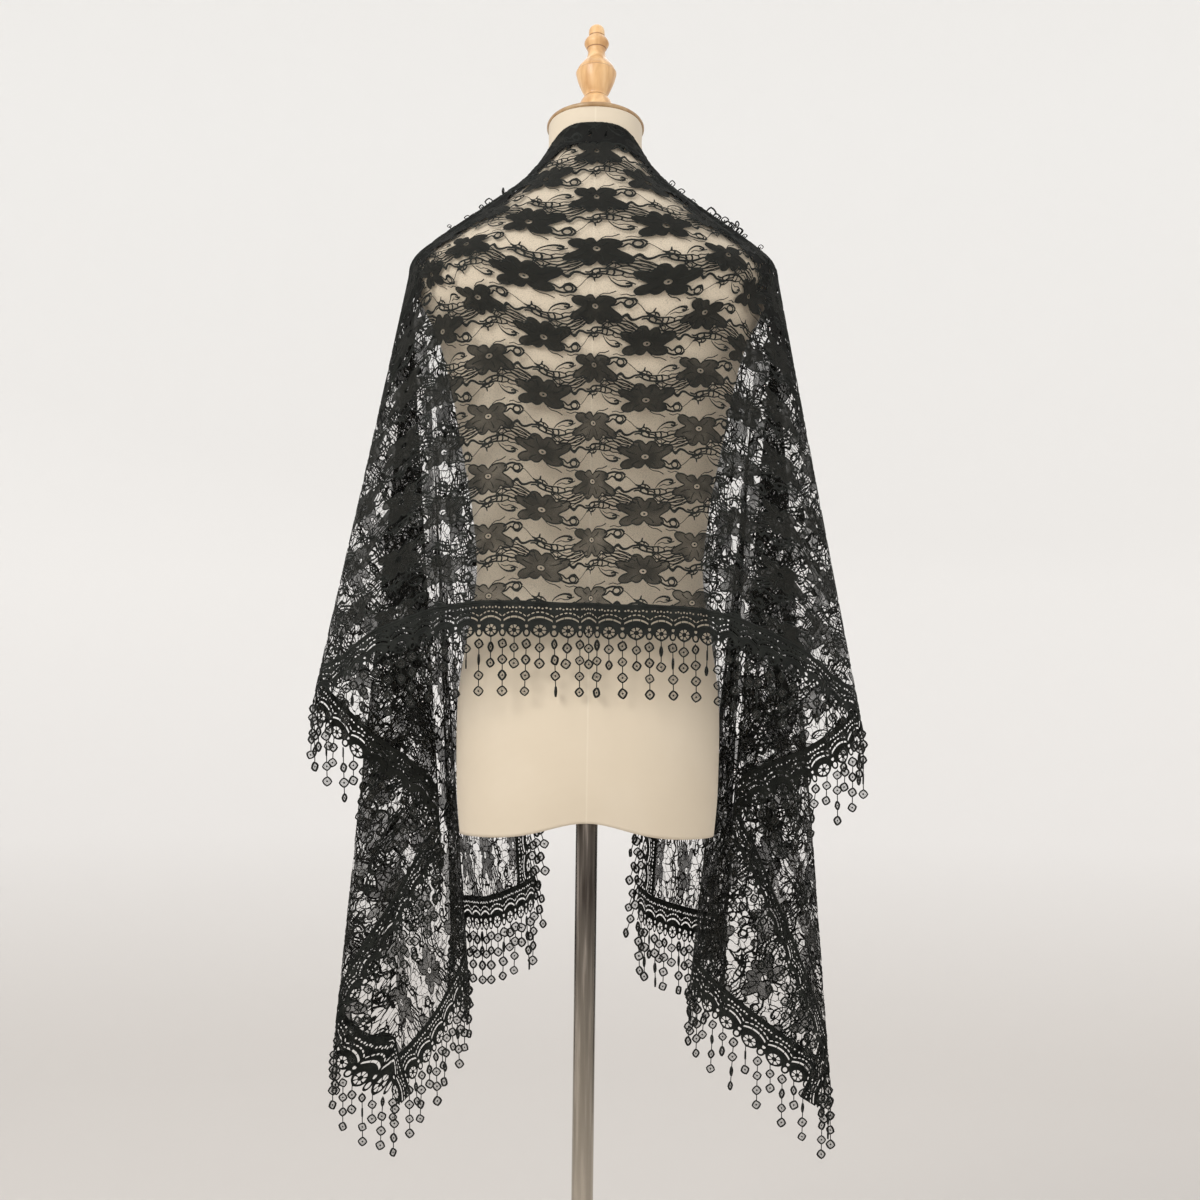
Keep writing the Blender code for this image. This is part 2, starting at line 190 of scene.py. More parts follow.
# Where each fold lies on the flat cloth: at the collar, where it leaves the form, and at the hem
# (for the folds past the corner, on the shawl's short end).
CLOTH_FOLDS = np.array([
    # collar u, v   shoulder u, v   hem u, v
    (0.000, 0.050, 0.000, 0.320, 0.000, 0.650),
    (0.038, 0.050, 0.123, 0.295, 0.076, 0.650),
    (0.063, 0.050, 0.209, 0.248, 0.147, 0.650),
    (0.077, 0.050, 0.246, 0.210, 0.242, 0.650),
    (0.086, 0.050, 0.266, 0.180, 0.340, 0.650),
    (0.093, 0.050, 0.275, 0.160, 0.408, 0.650),
    (0.097, 0.050, 0.279, 0.145, 0.495, 0.650),
    (0.100, 0.050, 0.282, 0.140, 0.628, 0.650),
    (0.102, 0.050, 0.285, 0.135, 0.764, 0.650),
    (0.104, 0.050, 0.289, 0.130, 0.918, 0.650),
    (0.107, 0.050, 0.294, 0.125, 1.030, 0.650),
    (0.113, 0.050, 0.302, 0.120, 1.030, 0.440),
    (0.120, 0.050, 0.318, 0.110, 1.030, 0.265),
    (0.129, 0.050, 0.348, 0.090, 1.030, 0.125),
    (0.145, 0.050, 0.390, 0.050, 1.030, 0.050),
    (0.160, 0.000, 0.420, 0.000, 1.030, 0.000),
])

# Soft creases that run down from the shoulder: the fold they follow, how wide they are in folds,
# how deep, and where down the fall they begin and are deepest.
CREASES = np.array([
    # fold  width  depth   begins  deepest
    (2.35, 0.16, 0.0040, 0.05, 0.80),
    (2.80, 0.20, -0.0045, 0.20, 0.95),
    (3.40, 0.22, 0.0050, 0.10, 0.90),
    (3.90, 0.16, -0.0040, 0.30, 1.00),
    (4.45, 0.20, 0.0045, 0.15, 0.85),
    (5.40, 0.24, -0.0050, 0.20, 0.95),
    (6.35, 0.20, 0.0045, 0.25, 1.00),
    (7.50, 0.22, -0.0040, 0.20, 0.90),
    (8.45, 0.20, 0.0050, 0.30, 0.95),
    (9.50, 0.24, -0.0045, 0.25, 1.00),
    (10.50, 0.22, 0.0045, 0.20, 0.95),
    (11.55, 0.20, -0.0040, 0.25, 0.90),
    (12.45, 0.18, 0.0040, 0.30, 1.00),
    (13.40, 0.20, -0.0035, 0.20, 0.95),
])


# Gathers that stand out of the yoke between the collar and the shoulder: the fold they follow,
# their width in folds, how far they stand out, and where they begin and end along the yoke.
GATHERS = np.array([
    # fold  width  height  begins  ends
    (2.30, 0.20, 0.0025, 0.02, 0.70),
    (3.10, 0.26, 0.0040, 0.05, 0.95),
    (3.80, 0.22, 0.0030, 0.10, 1.00),
    (4.50, 0.30, 0.0045, 0.00, 0.90),
    (5.60, 0.40, 0.0040, 0.05, 0.95),
    (7.00, 0.45, 0.0035, 0.08, 0.98),
    (8.60, 0.50, 0.0045, 0.02, 0.92),
    (10.20, 0.40, 0.0035, 0.06, 0.96),
    (11.70, 0.36, 0.0040, 0.04, 0.90),
    (12.90, 0.26, 0.0030, 0.10, 0.95),
])


def rows_at(table, positions):
    """The table's rows at fractional positions, on a smooth curve through its rows."""
    last = len(table) - 1
    positions = np.asarray(positions, float)
    first = np.clip(np.floor(positions).astype(int), 0, last - 1)
    share = (positions - first)[..., None]
    before = table[np.maximum(first - 1, 0)]
    start = table[first]
    end = table[first + 1]
    after = table[np.minimum(first + 2, last)]
    leave = (end - before) / 2
    arrive = (after - start) / 2
    return (
        start * (2 * share**3 - 3 * share**2 + 1)
        + leave * (share**3 - 2 * share**2 + share)
        + end * (3 * share**2 - 2 * share**3)
        + arrive * (share**3 - share**2)
    )


def level_at(height):
    return np.interp(height, FORM[:, 0], range(len(FORM)))


def rounded(value):
    return np.sign(value) * np.abs(value) ** (2 / FORM_ROUNDNESS)


def form_points(levels, angles):
    """Points on the form, at angles from the middle of its back towards +X."""
    z, y, tilt, half_width, back, front = np.moveaxis(rows_at(FORM, levels), -1, 0)
    across = half_width * rounded(np.sin(angles))
    depth = -np.where(np.cos(angles) > 0, back, front) * rounded(np.cos(angles))
    lean = np.radians(tilt)
    return np.stack([across, y + depth * np.cos(lean), z - depth * np.sin(lean)], -1)


def unit(vectors):
    return vectors / np.maximum(np.linalg.norm(vectors, axis=-1, keepdims=True), 1e-12)


def outside_form(levels, angles, clearance):
    """Points this far outside the form."""
    step = 0.02
    around = form_points(levels, angles + step) - form_points(levels, angles - step)
    top = len(FORM) - 1
    up = form_points(np.minimum(levels + step, top), angles) - form_points(levels - step, angles)
    return form_points(levels, angles) + clearance * unit(np.cross(around, up))


# ---------------------------------------------------------------- the drape

PLACE_STEPS = 12
YOKE_STEPS = 26
FALL_STEPS = 56
NECK_STEPS = 4


def creases(places, fall):
    """How far the soft creases push the cloth out, at places and shares of the fall."""
    push = np.zeros(np.broadcast(places, fall).shape)
    for fold, width, depth, begins, deepest in CREASES:
        across = np.exp(-(((np.abs(places) - fold) / width) ** 2))
        down = np.clip((fall - begins) / (deepest - begins), 0, 1)
        # the right side's creases lie a little further back than the left side's
        uneven = np.where(places > 0, 0.85, 1.0)
        push = push + depth * uneven * across * down**1.5
    return push


def gathers(places, run):
    """How far the yoke's gathers stand out, at places and shares of the way to the shoulder."""
    push = np.zeros(np.broadcast(places, run).shape)
    for fold, width, height, begins, ends in GATHERS:
        # the right shoulder's gathers lie a little nearer the nape than the left's
        across = np.exp(-(((np.abs(places) - fold + 0.18 * (places > 0)) / width) ** 2))
        along = np.clip((run - begins) / (ends - begins), 0, 1)
        push = push + height * across * np.sin(math.pi * along) ** 0.7
    return push


def collar_height(angle):
    """The collar's edge, which runs lower beside the neck than behind it."""
    return COLLAR_TOP_Z - COLLAR_DIP * np.sin(np.minimum(np.abs(angle), math.pi / 2)) ** 4


def fold_rows(places):
    """Rows of the folds at fractional places, the left side's where a place is negative."""
    left = rows_at(LEFT_FOLDS, np.abs(places))
    right = rows_at(RIGHT_FOLDS, np.abs(places))
    return np.where((places < 0)[:, None], left, right)


def drape_grid(places):
    """Points of the cloth on strands at these places, and where they lie on the flat cloth."""
    side = np.where(places < 0, -1.0, 1.0)
    angle_deg, x, y, z = fold_rows(places).T
    angle = np.radians(angle_deg)
    drop = np.where(np.cos(angle) > 0, BACK_DROP, FRONT_DROP)
    leaving = TIP_Z - drop * np.cos(angle) ** 2
    share = np.linspace(0, 1, YOKE_STEPS + 1)
    collar_z = collar_height(angle)
    heights = collar_z[:, None] + (leaving - collar_z)[:, None] * share
    yoke = outside_form(level_at(heights), np.repeat(angle[:, None], YOKE_STEPS + 1, 1), CLOTH_CLEARANCE)
    fall_share = np.linspace(0, 1, FALL_STEPS + 1)[1:]
    hem = np.stack([x, y, z], -1)
    fall = yoke[:, -1:] + (hem[:, None] - yoke[:, -1:]) * fall_share[None, :, None]
    points = np.concatenate([yoke, fall], 1)
    points[..., 0] *= side[:, None]
    down = np.concatenate([np.zeros(YOKE_STEPS + 1), fall_share])

    at = np.abs(places)
    folds = np.stack([np.interp(at, range(len(CLOTH_FOLDS)), column) for column in CLOTH_FOLDS.T], -1)
    collar, shoulder, edge = folds[:, None, 0:2], folds[:, None, 2:4], folds[:, None, 4:6]
    run = np.linalg.norm(np.diff(yoke, axis=1), axis=-1).cumsum(1)
    run = np.concatenate([np.zeros((len(places), 1)), run / run[:, -1:]], 1)[..., None]
    flat = np.concatenate(
        [collar + (shoulder - collar) * run, shoulder + (edge - shoulder) * fall_share[None, :, None]], 1
    )
    flat[..., 0] *= side[:, None]
    # the rows hang a little lower on the right than on the left, and come level at the hem
    off_level = np.concatenate([run[..., 0], np.repeat(1 - fall_share[None], len(places), 0)], 1)
    on_back = np.interp(at, (BACK_FOLD, SIDE_FOLD), (1, 0))[:, None]
    across = np.clip(flat[..., 0], -SLOPE_REACH, SLOPE_REACH)
    flat[..., 1] -= HANG_SLOPE * across * off_level * on_back

    normals = unit(np.cross(np.gradient(points, axis=1), np.gradient(points, axis=0)))
    along = np.concatenate([run[..., 0], np.ones((len(places), FALL_STEPS))], 1)
    push = creases(places[:, None], down[None, :]) + gathers(places[:, None], along)
    points = points + normals * push[..., None]
    normals = unit(np.cross(np.gradient(points, axis=1), np.gradient(points, axis=0)))
    return points, normals, flat


def neck_grid(places):
    """The upper edge's trim, turned in between the collar and the neck."""
    angle = np.copysign(np.radians(fold_rows(places)[:, 0]), places)
    drops = np.linspace(0, NECK_TRIM_DEPTH, NECK_STEPS + 1)
    levels = level_at(collar_height(angle)[:, None] - drops)
    angles = np.repeat(angle[:, None], NECK_STEPS + 1, 1)
    points = outside_form(levels, angles, NECK_TRIM_CLEARANCE)
    normals = unit(np.cross(np.gradient(points, axis=1), np.gradient(points, axis=0)))
    at = np.abs(places)
    u = np.interp(at, range(len(CLOTH_FOLDS)), CLOTH_FOLDS[:, 0]) * np.sign(places)
    v = np.linspace(PANEL_TOP - 1e-6, PANEL_TOP - TURNED_IN, NECK_STEPS + 1)
    flat = np.stack(np.broadcast_arrays(u[:, None], v[None]), -1)
    return points, normals, flat


def grid_triangles(columns, rows, start=0):
    index = start + np.arange(columns * rows).reshape(columns, rows)
    a, b = index[:-1, :-1].ravel(), index[1:, :-1].ravel()
    c, d = index[1:, 1:].ravel(), index[:-1, 1:].ravel()
    return np.concatenate([np.stack([a, b, c], -1), np.stack([a, c, d], -1)])


class Drape:
    """Carries flat points to the hanging cloth."""

    def __init__(self, *grids):
        self.points = np.concatenate([g[0].reshape(-1, 3) for g in grids])
        self.normals = np.concatenate([g[1].reshape(-1, 3) for g in grids])
        self.flat = np.concatenate([g[2].reshape(-1, 2) for g in grids])
        start = 0
        triangles = []
        for points, _, _ in grids:
            triangles.append(grid_triangles(points.shape[0], points.shape[1], start))
            start += points.shape[0] * points.shape[1]
        self.triangles = np.concatenate(triangles)
        flat3 = np.c_[self.flat, np.zeros(len(self.flat))]
        self.tree = BVHTree.FromPolygons(flat3.tolist(), self.triangles.tolist(), all_triangles=True)

    def place(self, flat, height):
        """The points on the cloth, raised by a height, and which of them lie on it at all."""
        down = Vector((0.0, 0.0, -1.0))
        hits = [self.tree.ray_cast(Vector((u, v, 1.0)), down)[2] for u, v in flat.tolist()]
        on = np.array([hit is not None for hit in hits])
        corner = self.triangles[[hit if hit is not None else 0 for hit in hits]]
        a, b, c = (self.flat[corner[:, k]] for k in range(3))
        ab, ac, ap = b - a, c - a, flat - a
        area = ab[:, 0] * ac[:, 1] - ab[:, 1] * ac[:, 0]
        area = np.where(np.abs(area) < 1e-14, 1e-14, area)
        second = (ap[:, 0] * ac[:, 1] - ap[:, 1] * ac[:, 0]) / area
        third = (ab[:, 0] * ap[:, 1] - ab[:, 1] * ap[:, 0]) / area
        share = np.clip(np.stack([1 - second - third, second, third], -1), 0, 1)
        share /= share.sum(1, keepdims=True)
        point = (self.points[corner] * share[..., None]).sum(1)
        normal = unit((self.normals[corner] * share[..., None]).sum(1))
        return point + normal * np.asarray(height)[:, None], normal, on


PLACES = np.arange(-FRONT_EDGE * PLACE_STEPS, FRONT_EDGE * PLACE_STEPS + 1) / PLACE_STEPS
CLOTH_GRID = drape_grid(PLACES)
NECK_GRID = neck_grid(PLACES[np.abs(PLACES) <= FRONT_SEAM])
drape = Drape(CLOTH_GRID, NECK_GRID)

# ---------------------------------------------------------------- flat drawing

CORD_TOP = 0.55 * MM
CORD_FOOT = 0.10 * MM
THREAD = 0
FILL = 1


def smooth_line(points, steps=4, closed=False):
    points = np.asarray(points, float)
    if closed:
        points = np.vstack([points[-1], points, points[:2]])
        at = 1 + np.arange(0, (len(points) - 3) * steps) / steps
    else:
        at = np.linspace(0, len(points) - 1, (len(points) - 1) * steps + 1)
    return rows_at(points, at)


def circle(centre, across, along=None, sides=12, turn=0.0):
    angle = turn + math.tau * np.arange(sides) / sides
    along = across if along is None else along
    return np.asarray(centre) + np.stack([across * np.cos(angle), along * np.sin(angle)], -1)


def ribbon(line, width, closed=False, kind=THREAD, top=CORD_TOP):
    """A cord along a flat line: two feet and a raised middle."""
    line = np.asarray(line, float)
    if closed:
        ahead = np.roll(line, -1, 0) - np.roll(line, 1, 0)
    else:
        ahead = np.gradient(line, axis=0)
    side = unit(np.stack([-ahead[:, 1], ahead[:, 0]], -1))
    half = np.broadcast_to(np.asarray(width, float) / 2, (len(line),))[:, None]
    points = np.concatenate([line - side * half, line, line + side * half])
    count = len(line)
    height = np.repeat([CORD_FOOT, top, CORD_FOOT], count)
    here = np.arange(count if closed else count - 1)
    after = (here + 1) % count
    faces = []
    for row in (0, count):
        low, low_after, high, high_after = row + here, row + after, row + count + here, row + count + after
        faces += [np.stack([low, low_after, high_after], -1), np.stack([low, high_after, high], -1)]
    return points, height, np.concatenate(faces), kind


def ring(centre, radius, width, along=None, sides=12, kind=THREAD, top=CORD_TOP):
    return ribbon(circle(centre, radius, along, sides), width, closed=True, kind=kind, top=top)


def inside(points, outline):
    """Which points lie inside a closed outline."""
    x, y = points[:, 0:1], points[:, 1:2]
    ax, ay = outline[:, 0], outline[:, 1]
    bx, by = np.roll(ax, -1), np.roll(ay, -1)
    spans = (ay > y) != (by > y)
    rise = np.where(np.abs(by - ay) < 1e-12, 1e-12, by - ay)
    return (spans & (x < (bx - ax) * (y - ay) / rise + ax)).sum(1) % 2 == 1


def patch(outline, holes=(), spacing=6 * MM, kind=FILL, height=0.2 * MM):
    """A flat piece of cloth inside an outline, with holes."""
    loops = [np.asarray(outline, float), *[np.asarray(hole, float) for hole in holes]]
    low, high = loops[0].min(0), loops[0].max(0)
    across = np.arange(low[0] + spacing / 2, high[0], spacing)
    along = np.arange(low[1] + spacing / 2, high[1], spacing)
    extra = np.stack(np.meshgrid(across, along), -1).reshape(-1, 2)
    if len(extra):
        keep = inside(extra, loops[0])
        for hole in loops[1:]:
            keep &= ~inside(extra, hole)
        extra = extra[keep]
    points = np.vstack([*loops, extra])
    edges = []
    start = 0
    for loop in loops:
        edges += [(start + k, start + (k + 1) % len(loop)) for k in range(len(loop))]
        start += len(loop)
    made = delaunay_2d_cdt([Vector(p) for p in points.tolist()], edges, [], 0, 1e-7)
    points = np.array([p[:] for p in made[0]])
    faces = np.array([f for f in made[2] if len(f) == 3])
    middle = points[faces].mean(1)
    keep = inside(middle, loops[0])
    for hole in loops[1:]:
        keep &= ~inside(middle, hole)
    faces = faces[keep]
    used, faces = np.unique(faces, return_inverse=True)
    return points[used], np.full(len(used), height), faces.reshape(-1, 3), kind


def merge(parts):
    """Flat parts as one: points, heights, triangles, and each triangle's kind."""
    points, heights, faces, kinds = [], [], [], []
    start = 0
    for flat, height, triangles, kind in parts:
        points.append(flat)
        heights.append(height)
        faces.append(triangles + start)
        kinds.append(np.broadcast_to(kind, (len(triangles),)))
        start += len(flat)
    return np.concatenate(points), np.concatenate(heights), np.concatenate(faces), np.concatenate(kinds)


def moved(part, offset=(0.0, 0.0), scale=(1.0, 1.0)):
    points, heights, faces, kinds = part
    points = points * np.asarray(scale) + np.asarray(offset)
    if scale[0] * scale[1] < 0:
        faces = faces[:, ::-1]
    return points, heights, faces, kinds


# ---------------------------------------------------------------- the lace's figures

COLUMN = 62.5 * MM
ROW = 63.4 * MM
FIRST_COLUMN = 3.0 * MM
FIRST_ROW = 25.0 * MM
ROWS_SLOPE = 0.062
CORD_SCALE = 1.15


def flower():
    """Two broad upper lobes with a notch, side petals that point down and out, a scalloped foot."""
    outline = np.array([
        (0.0, 7.4), (3.0, 10.4), (8.5, 12.6), (14.5, 12.9), (20.0, 11.6), (22.6, 8.6),
        (20.6, 5.6), (17.2, 2.8), (21.0, -0.6), (26.5, -3.6), (31.0, -7.6), (31.0, -11.6),
        (26.0, -13.6), (20.0, -13.4), (15.2, -10.8), (12.4, -14.6), (8.4, -17.2), (4.0, -16.6),
        (0.6, -13.6), (-3.0, -17.4), (-7.6, -18.6), (-11.8, -16.6), (-13.2, -12.6), (-17.0, -9.6),
        (-23.0, -10.4), (-29.0, -9.4), (-29.4, -6.0), (-25.0, -2.8), (-19.0, -0.2), (-15.6, 2.2),
        (-20.4, 4.2), (-24.6, 7.6), (-26.0, 11.2), (-22.4, 13.8), (-16.4, 13.2), (-12.0, 11.0),
        (-8.0, 12.6), (-3.4, 11.4),
    ])
    edge = smooth_line(outline * MM, 2, closed=True)
    eye = circle((0.0, 0.0), 4.0 * MM, 2.8 * MM, 12)
    parts = [
        patch(edge, [eye], 8 * MM),
        ribbon(edge, 1.5 * MM, closed=True),
        ring((0.0, 0.0), 4.4 * MM, 1.0 * MM, 3.2 * MM, 12),
        patch(circle((0.2 * MM, 0.1 * MM), 1.5 * MM, 1.1 * MM, 6), kind=THREAD, height=0.3 * MM),
    ]
    for x, y in ((11, 9.5), (-14, 10.0), (22, -8.5), (-20, -6.5), (7, -13), (-7, -14.5)):
        line = smooth_line(np.array([(x * 0.42, y * 0.42), (x * 0.75, y * 0.66), (x, y)]) * MM, 2)
        parts.append(ribbon(line, np.linspace(0.6, 1.5, len(line)) * MM))
    return parts


# Cords of the lace round one flower, in millimetres from its eye: width at the start and at the
# end, then the points the cord passes.
CORDS = (
    # knot beside the upper lobe, held by an upper and a lower cord
    (2.0, 2.0, (19, 9), (24, 11.6), (30, 13.2), (35, 12.4), (39, 12.4), (42, 9)),
    (1.6, 1.8, (18, 3.4), (23, 5), (27, 8.4), (30.5, 6.4), (32.5, 4.2), (36.5, 3.4), (39.5, 5.4), (42, 8.6)),
    (0.6, 0.7, (42, 8.6), (47, 4.6), (51.5, -0.4), (56.5, -4.4)),
    # second knot's spikes
    (1.4, 2.2, (53, -2.0), (56, -3.6), (58.6, -3.8)),
    (1.0, 2.2, (61.4, 1.6), (60.8, -0.6), (60.5, -2.6)),
    (1.6, 1.2, (62.6, -3.2), (65, -4.0), (68.5, -7.6)),
    # chain that comes in from the left neighbour's second knot
    (1.7, 1.5, (-70, 3.4), (-66, 2.6), (-61, 0.4), (-55, -1.6), (-49, -2.0)),
    (1.5, 2.0, (-74, -1.4), (-69, -0.8), (-64.5, -4.2), (-58.5, -6.6), (-52, -8.0), (-45.5, -9.0)),
    (2.0, 1.6, (-45.5, -9.0), (-39, -8.2), (-33, -6.8), (-27, -7.2)),
    (1.3, 1.0, (-49, -2.0), (-44.5, -2.2), (-39.5, -4.0), (-35, -2.6), (-30, -3.4), (-25, -1.6)),
    (1.9, 1.7, (-67, 2.6), (-66.4, -0.6), (-66.8, -3.4)),
    (1.7, 1.9, (-59.6, -0.2), (-58.6, -3.2), (-59.0, -6.2)),
    (1.5, 1.9, (-52.6, -2.0), (-51.2, -4.8), (-52.0, -8.0)),
    (1.6, 1.7, (-46.4, -2.4), (-45.2, -5.4), (-46.2, -8.8)),
    (1.4, 1.6, (-38.6, -4.2), (-37.8, -6.2), (-38.4, -8.2)),
    # crescent leaf over the left petal
    (0.7, 2.2, (-50.5, -0.6), (-47.5, 3.2), (-43, 6.0), (-38, 7.4), (-33.4, 7.0)),
    (2.6, 1.6, (-33.4, 7.0), (-29.6, 5.2), (-30.6, 2.8), (-34.6, 4.2)),
    (0.7, 1.1, (-46.5, 0.6), (-41.5, 2.4), (-37, 1.0), (-31.5, 1.6), (-26, 3.6)),
    # web under the left petal
    (1.3, 0.9, (-53, -8.6), (-50, -12.2), (-46.5, -15.6), (-41.5, -18.8)),
    (1.2, 1.2, (-46, -9.6), (-40.5, -12.8), (-34.5, -14.8), (-28.6, -13.2)),
    (1.3, 1.1, (-44, -17.4), (-36.5, -17.2), (-29, -12.8), (-21, -10.6), (-13.6, -12.6)),
    (1.1, 1.3, (-13.6, -12.6), (-17.5, -15.8), (-25, -18.0), (-35, -18.4), (-43, -21.2)),
    (0.8, 1.0, (-40, -10.6), (-34.5, -11.4), (-28, -9.6)),
    (1.0, 0.8, (-12, -16.6), (-17, -19.6), (-24, -21.6), (-31, -24.4)),
    # cords under the right petal
    (1.6, 1.2, (17.6, -13.6), (23, -17.0), (29.5, -16.2), (37, -19.2), (45.5, -21.0)),
    (1.4, 1.1, (25, -13.4), (32, -13.6), (39, -17.0), (47, -19.4), (54, -23.0)),
    (1.2, 1.2, (30, -11.2), (36, -11.0), (42.5, -13.8), (49, -17.4), (56, -18.6)),
    (1.1, 0.8, (9, -17.2), (14, -20.4), (21, -21.6), (28, -24.6)),
    # tail from the right petal to the second knot
    (2.4, 2.6, (29, -8.6), (32.4, -6.0), (35.4, -3.8), (37.6, -6.2)),
    (2.6, 1.8, (37.6, -6.2), (41, -9.2), (46, -8.8), (51, -6.4), (58.2, -6.4)),
    (1.8, 1.0, (62.6, -7.0), (66, -10.4), (71, -12.0), (76, -16.0)),
    # short cords over the upper lobes
    (1.0, 0.7, (-22, 13.6), (-27, 15.6), (-32, 14.6), (-37, 16.8)),
    (0.8, 1.0, (4, 12.0), (9, 15.4), (15, 16.2), (21, 19.4)),
)


def figure():
    """One repeat of the lace, round one flower. Every second column has it turned upside down."""
    parts = flower()
    for first, last, *line in CORDS:
        drawn = smooth_line(np.array(line) * MM, 2)
        parts.append(ribbon(drawn, CORD_SCALE * np.linspace(first, last, len(drawn)) * MM))
    parts.append(ring((34.6 * MM, 8.4 * MM), 4.0 * MM, 1.8 * MM, 3.4 * MM, 12))
    parts.append(ring((60.5 * MM, -5.0 * MM), 2.8 * MM, 1.6 * MM, 2.5 * MM, 10))
    parts.append(ring((14.4 * MM, -16.6 * MM), 3.6 * MM, 1.1 * MM, 2.6 * MM, 10))
    parts.append(patch(circle((36.4 * MM, 3.8 * MM), 2.1 * MM, 1.7 * MM, 7), kind=THREAD, height=0.4 * MM))
    parts.append(patch(circle((35.2 * MM, -4.8 * MM), 2.3 * MM, 1.9 * MM, 7), kind=THREAD, height=0.4 * MM))
    points, heights, faces, kinds = merge(parts)
    # the rows run a little downhill
    points[:, 1] += ROWS_SLOPE * points[:, 0]
    return points, heights, faces, kinds


def clip_to_panel(part):
    """Keeps a figure inside the panel: what passes its edges is pulled back to them."""
    points, heights, faces, kinds = part
    points = np.stack(
        [
            np.clip(points[:, 0], -PANEL_U - 2 * MM, PANEL_U + 2 * MM),
            np.clip(points[:, 1], PANEL_TOP, PANEL_BOTTOM + 2 * MM),
        ],
        -1,
    )
    a, b, c = (points[faces[:, k]] for k in range(3))
    ab, ac = b - a, c - a
    area = np.abs(ab[:, 0] * ac[:, 1] - ab[:, 1] * ac[:, 0])
    keep = area > 1e-9
    return points, heights, faces[keep], kinds[keep]


# ---------------------------------------------------------------- the trim

ARCH = 30.0 * MM
TRIM_DEPTH = 41.0 * MM


def trim_arch():
    """One arch of the trim: x along the edge, y from the seam outwards."""
    half = ARCH / 2
    lobes = np.array([
        (-15.0, 38.4), (-13.2, 38.0), (-11.8, 36.6), (-11.0, 34.4), (-10.2, 32.4),
        (-8.9, 33.8), (-7.2, 35.8), (-4.8, 37.4), (-2.2, 38.4), (0.0, 39.6),
    ])
    scallop = np.vstack([lobes, (lobes * [-1, 1])[-2::-1]]) * MM
    notch = np.linspace(-math.pi / 2, math.pi / 2, 5)

    def side(sign):
        column = [(sign * half, 1.0 * MM)]
        for middle, across, along in ((26.6, 1.9, 2.1), (33.6, 2.5, 2.9)):
            for turn in notch:
                column.append(
                    (sign * (half - across * MM * math.cos(turn)), (middle + along * math.sin(turn)) * MM)
                )
        return column

    outline = np.array([*side(-1), *scallop.tolist(), *reversed(side(1))])[::-1]
    holes = []
    for x, y, across, along in (
        (-12.4, 7.4, 1.1, 0.9),
        (-9.0, 6.8, 1.2, 1.1),
        (-5.4, 7.8, 1.1, 0.9),
        (-1.4, 7.0, 1.3, 1.1),
        (2.6, 7.6, 1.1, 0.9),
        (6.8, 6.8, 1.3, 1.0),
        (11.0, 7.6, 1.2, 1.0),
    ):
        holes.append(circle((x * MM, y * MM), across * MM, along * MM, 6))

    def arch_height(x, crest, rise):
        return crest + rise * (x / 15) ** 2

    for x in (-12.6, -7.6, -2.6, 2.6, 7.6, 12.6):
        slope = 2 * 5.4 * x / 225
        angle = math.tau * np.arange(6) / 6
        dash = np.stack([1.85 * np.cos(angle), 0.8 * np.sin(angle) + slope * 1.85 * np.cos(angle)], -1)
        holes.append((dash + [x, arch_height(x, 11.6, 5.4)]) * MM)
    for low, high in ((-13.2, -4.9), (-4.1, 4.1), (4.9, 13.2)):
        x = np.linspace(low, high, 5)
        top = np.stack([x, arch_height(x, 16.9, 5.4) - 0.95], -1)
        bottom = np.stack([x, arch_height(x, 16.9, 5.4) + 0.95], -1)[::-1]
        holes.append(np.vstack([top, bottom]) * MM)
    for k in range(7):
        turn = math.tau * (k + 0.5) / 7
        angles = turn + np.linspace(-0.31, 0.31, 3)
        outer = np.stack([6.8 * np.cos(angles), 5.7 * np.sin(angles)], -1)
        inner = np.stack([2.9 * np.cos(angles), 2.5 * np.sin(angles)], -1)[::-1]
        holes.append((np.vstack([outer, inner]) + [0.0, 31.0]) * MM)

    parts = [patch(outline, holes, 8 * MM, THREAD)]
    x = np.linspace(-15, 15, 13)
    for crest, rise, width in ((9.6, 5.0, 1.1), (14.2, 5.4, 2.0), (19.7, 5.4, 1.8)):
        parts.append(ribbon(np.stack([x, arch_height(x, crest, rise)], -1) * MM, width * MM, top=0.9 * MM))
    parts.append(ring((0.0, 31.0 * MM), 8.2 * MM, 1.5 * MM, 7.0 * MM, 16, top=0.9 * MM))
    parts.append(ring((0.0, 31.0 * MM), 1.9 * MM, 1.3 * MM, 1.6 * MM, 8, top=1.0 * MM))
    parts.append(ribbon(scallop - [0.0, 0.6 * MM], 1.3 * MM, top=0.9 * MM))
    return merge(parts)


def seam_cord(length, steps):
    """The two cords that run along the seam between trim and net."""
    x = np.linspace(0, length, steps)
    parts = [
        ribbon(np.stack([x, np.full(steps, 1.6 * MM)], -1), 3.4 * MM, top=1.0 * MM),
        ribbon(np.stack([x, np.full(steps, 4.4 * MM)], -1), 1.2 * MM, top=0.7 * MM),
    ]
    return merge(parts)


def band(length):
    """A stretch of trim of whole arches: x along the seam, y outwards."""
    count = max(int(round(length / ARCH)), 1)
    scale = length / (count * ARCH)
    arch = trim_arch()
    parts = [moved(arch, ((k + 0.5) * ARCH * scale, 0.0), (scale, 1.0)) for k in range(count)]
    parts.append(seam_cord(length, count * 4 + 1))
    return merge(parts)


def laid(part, origin, along, outwards):
    """A flat band put on the cloth, from an origin, along one direction and outwards another."""
    points, heights, faces, kinds = part
    along, outwards = np.asarray(along, float), np.asarray(outwards, float)
    if along[0] * outwards[1] - along[1] * outwards[0] < 0:
        faces = faces[:, ::-1]
    flat = np.asarray(origin) + points[:, :1] * along + points[:, 1:] * outwards
    return flat, heights, faces, kinds


# ---------------------------------------------------------------- pieces of mesh

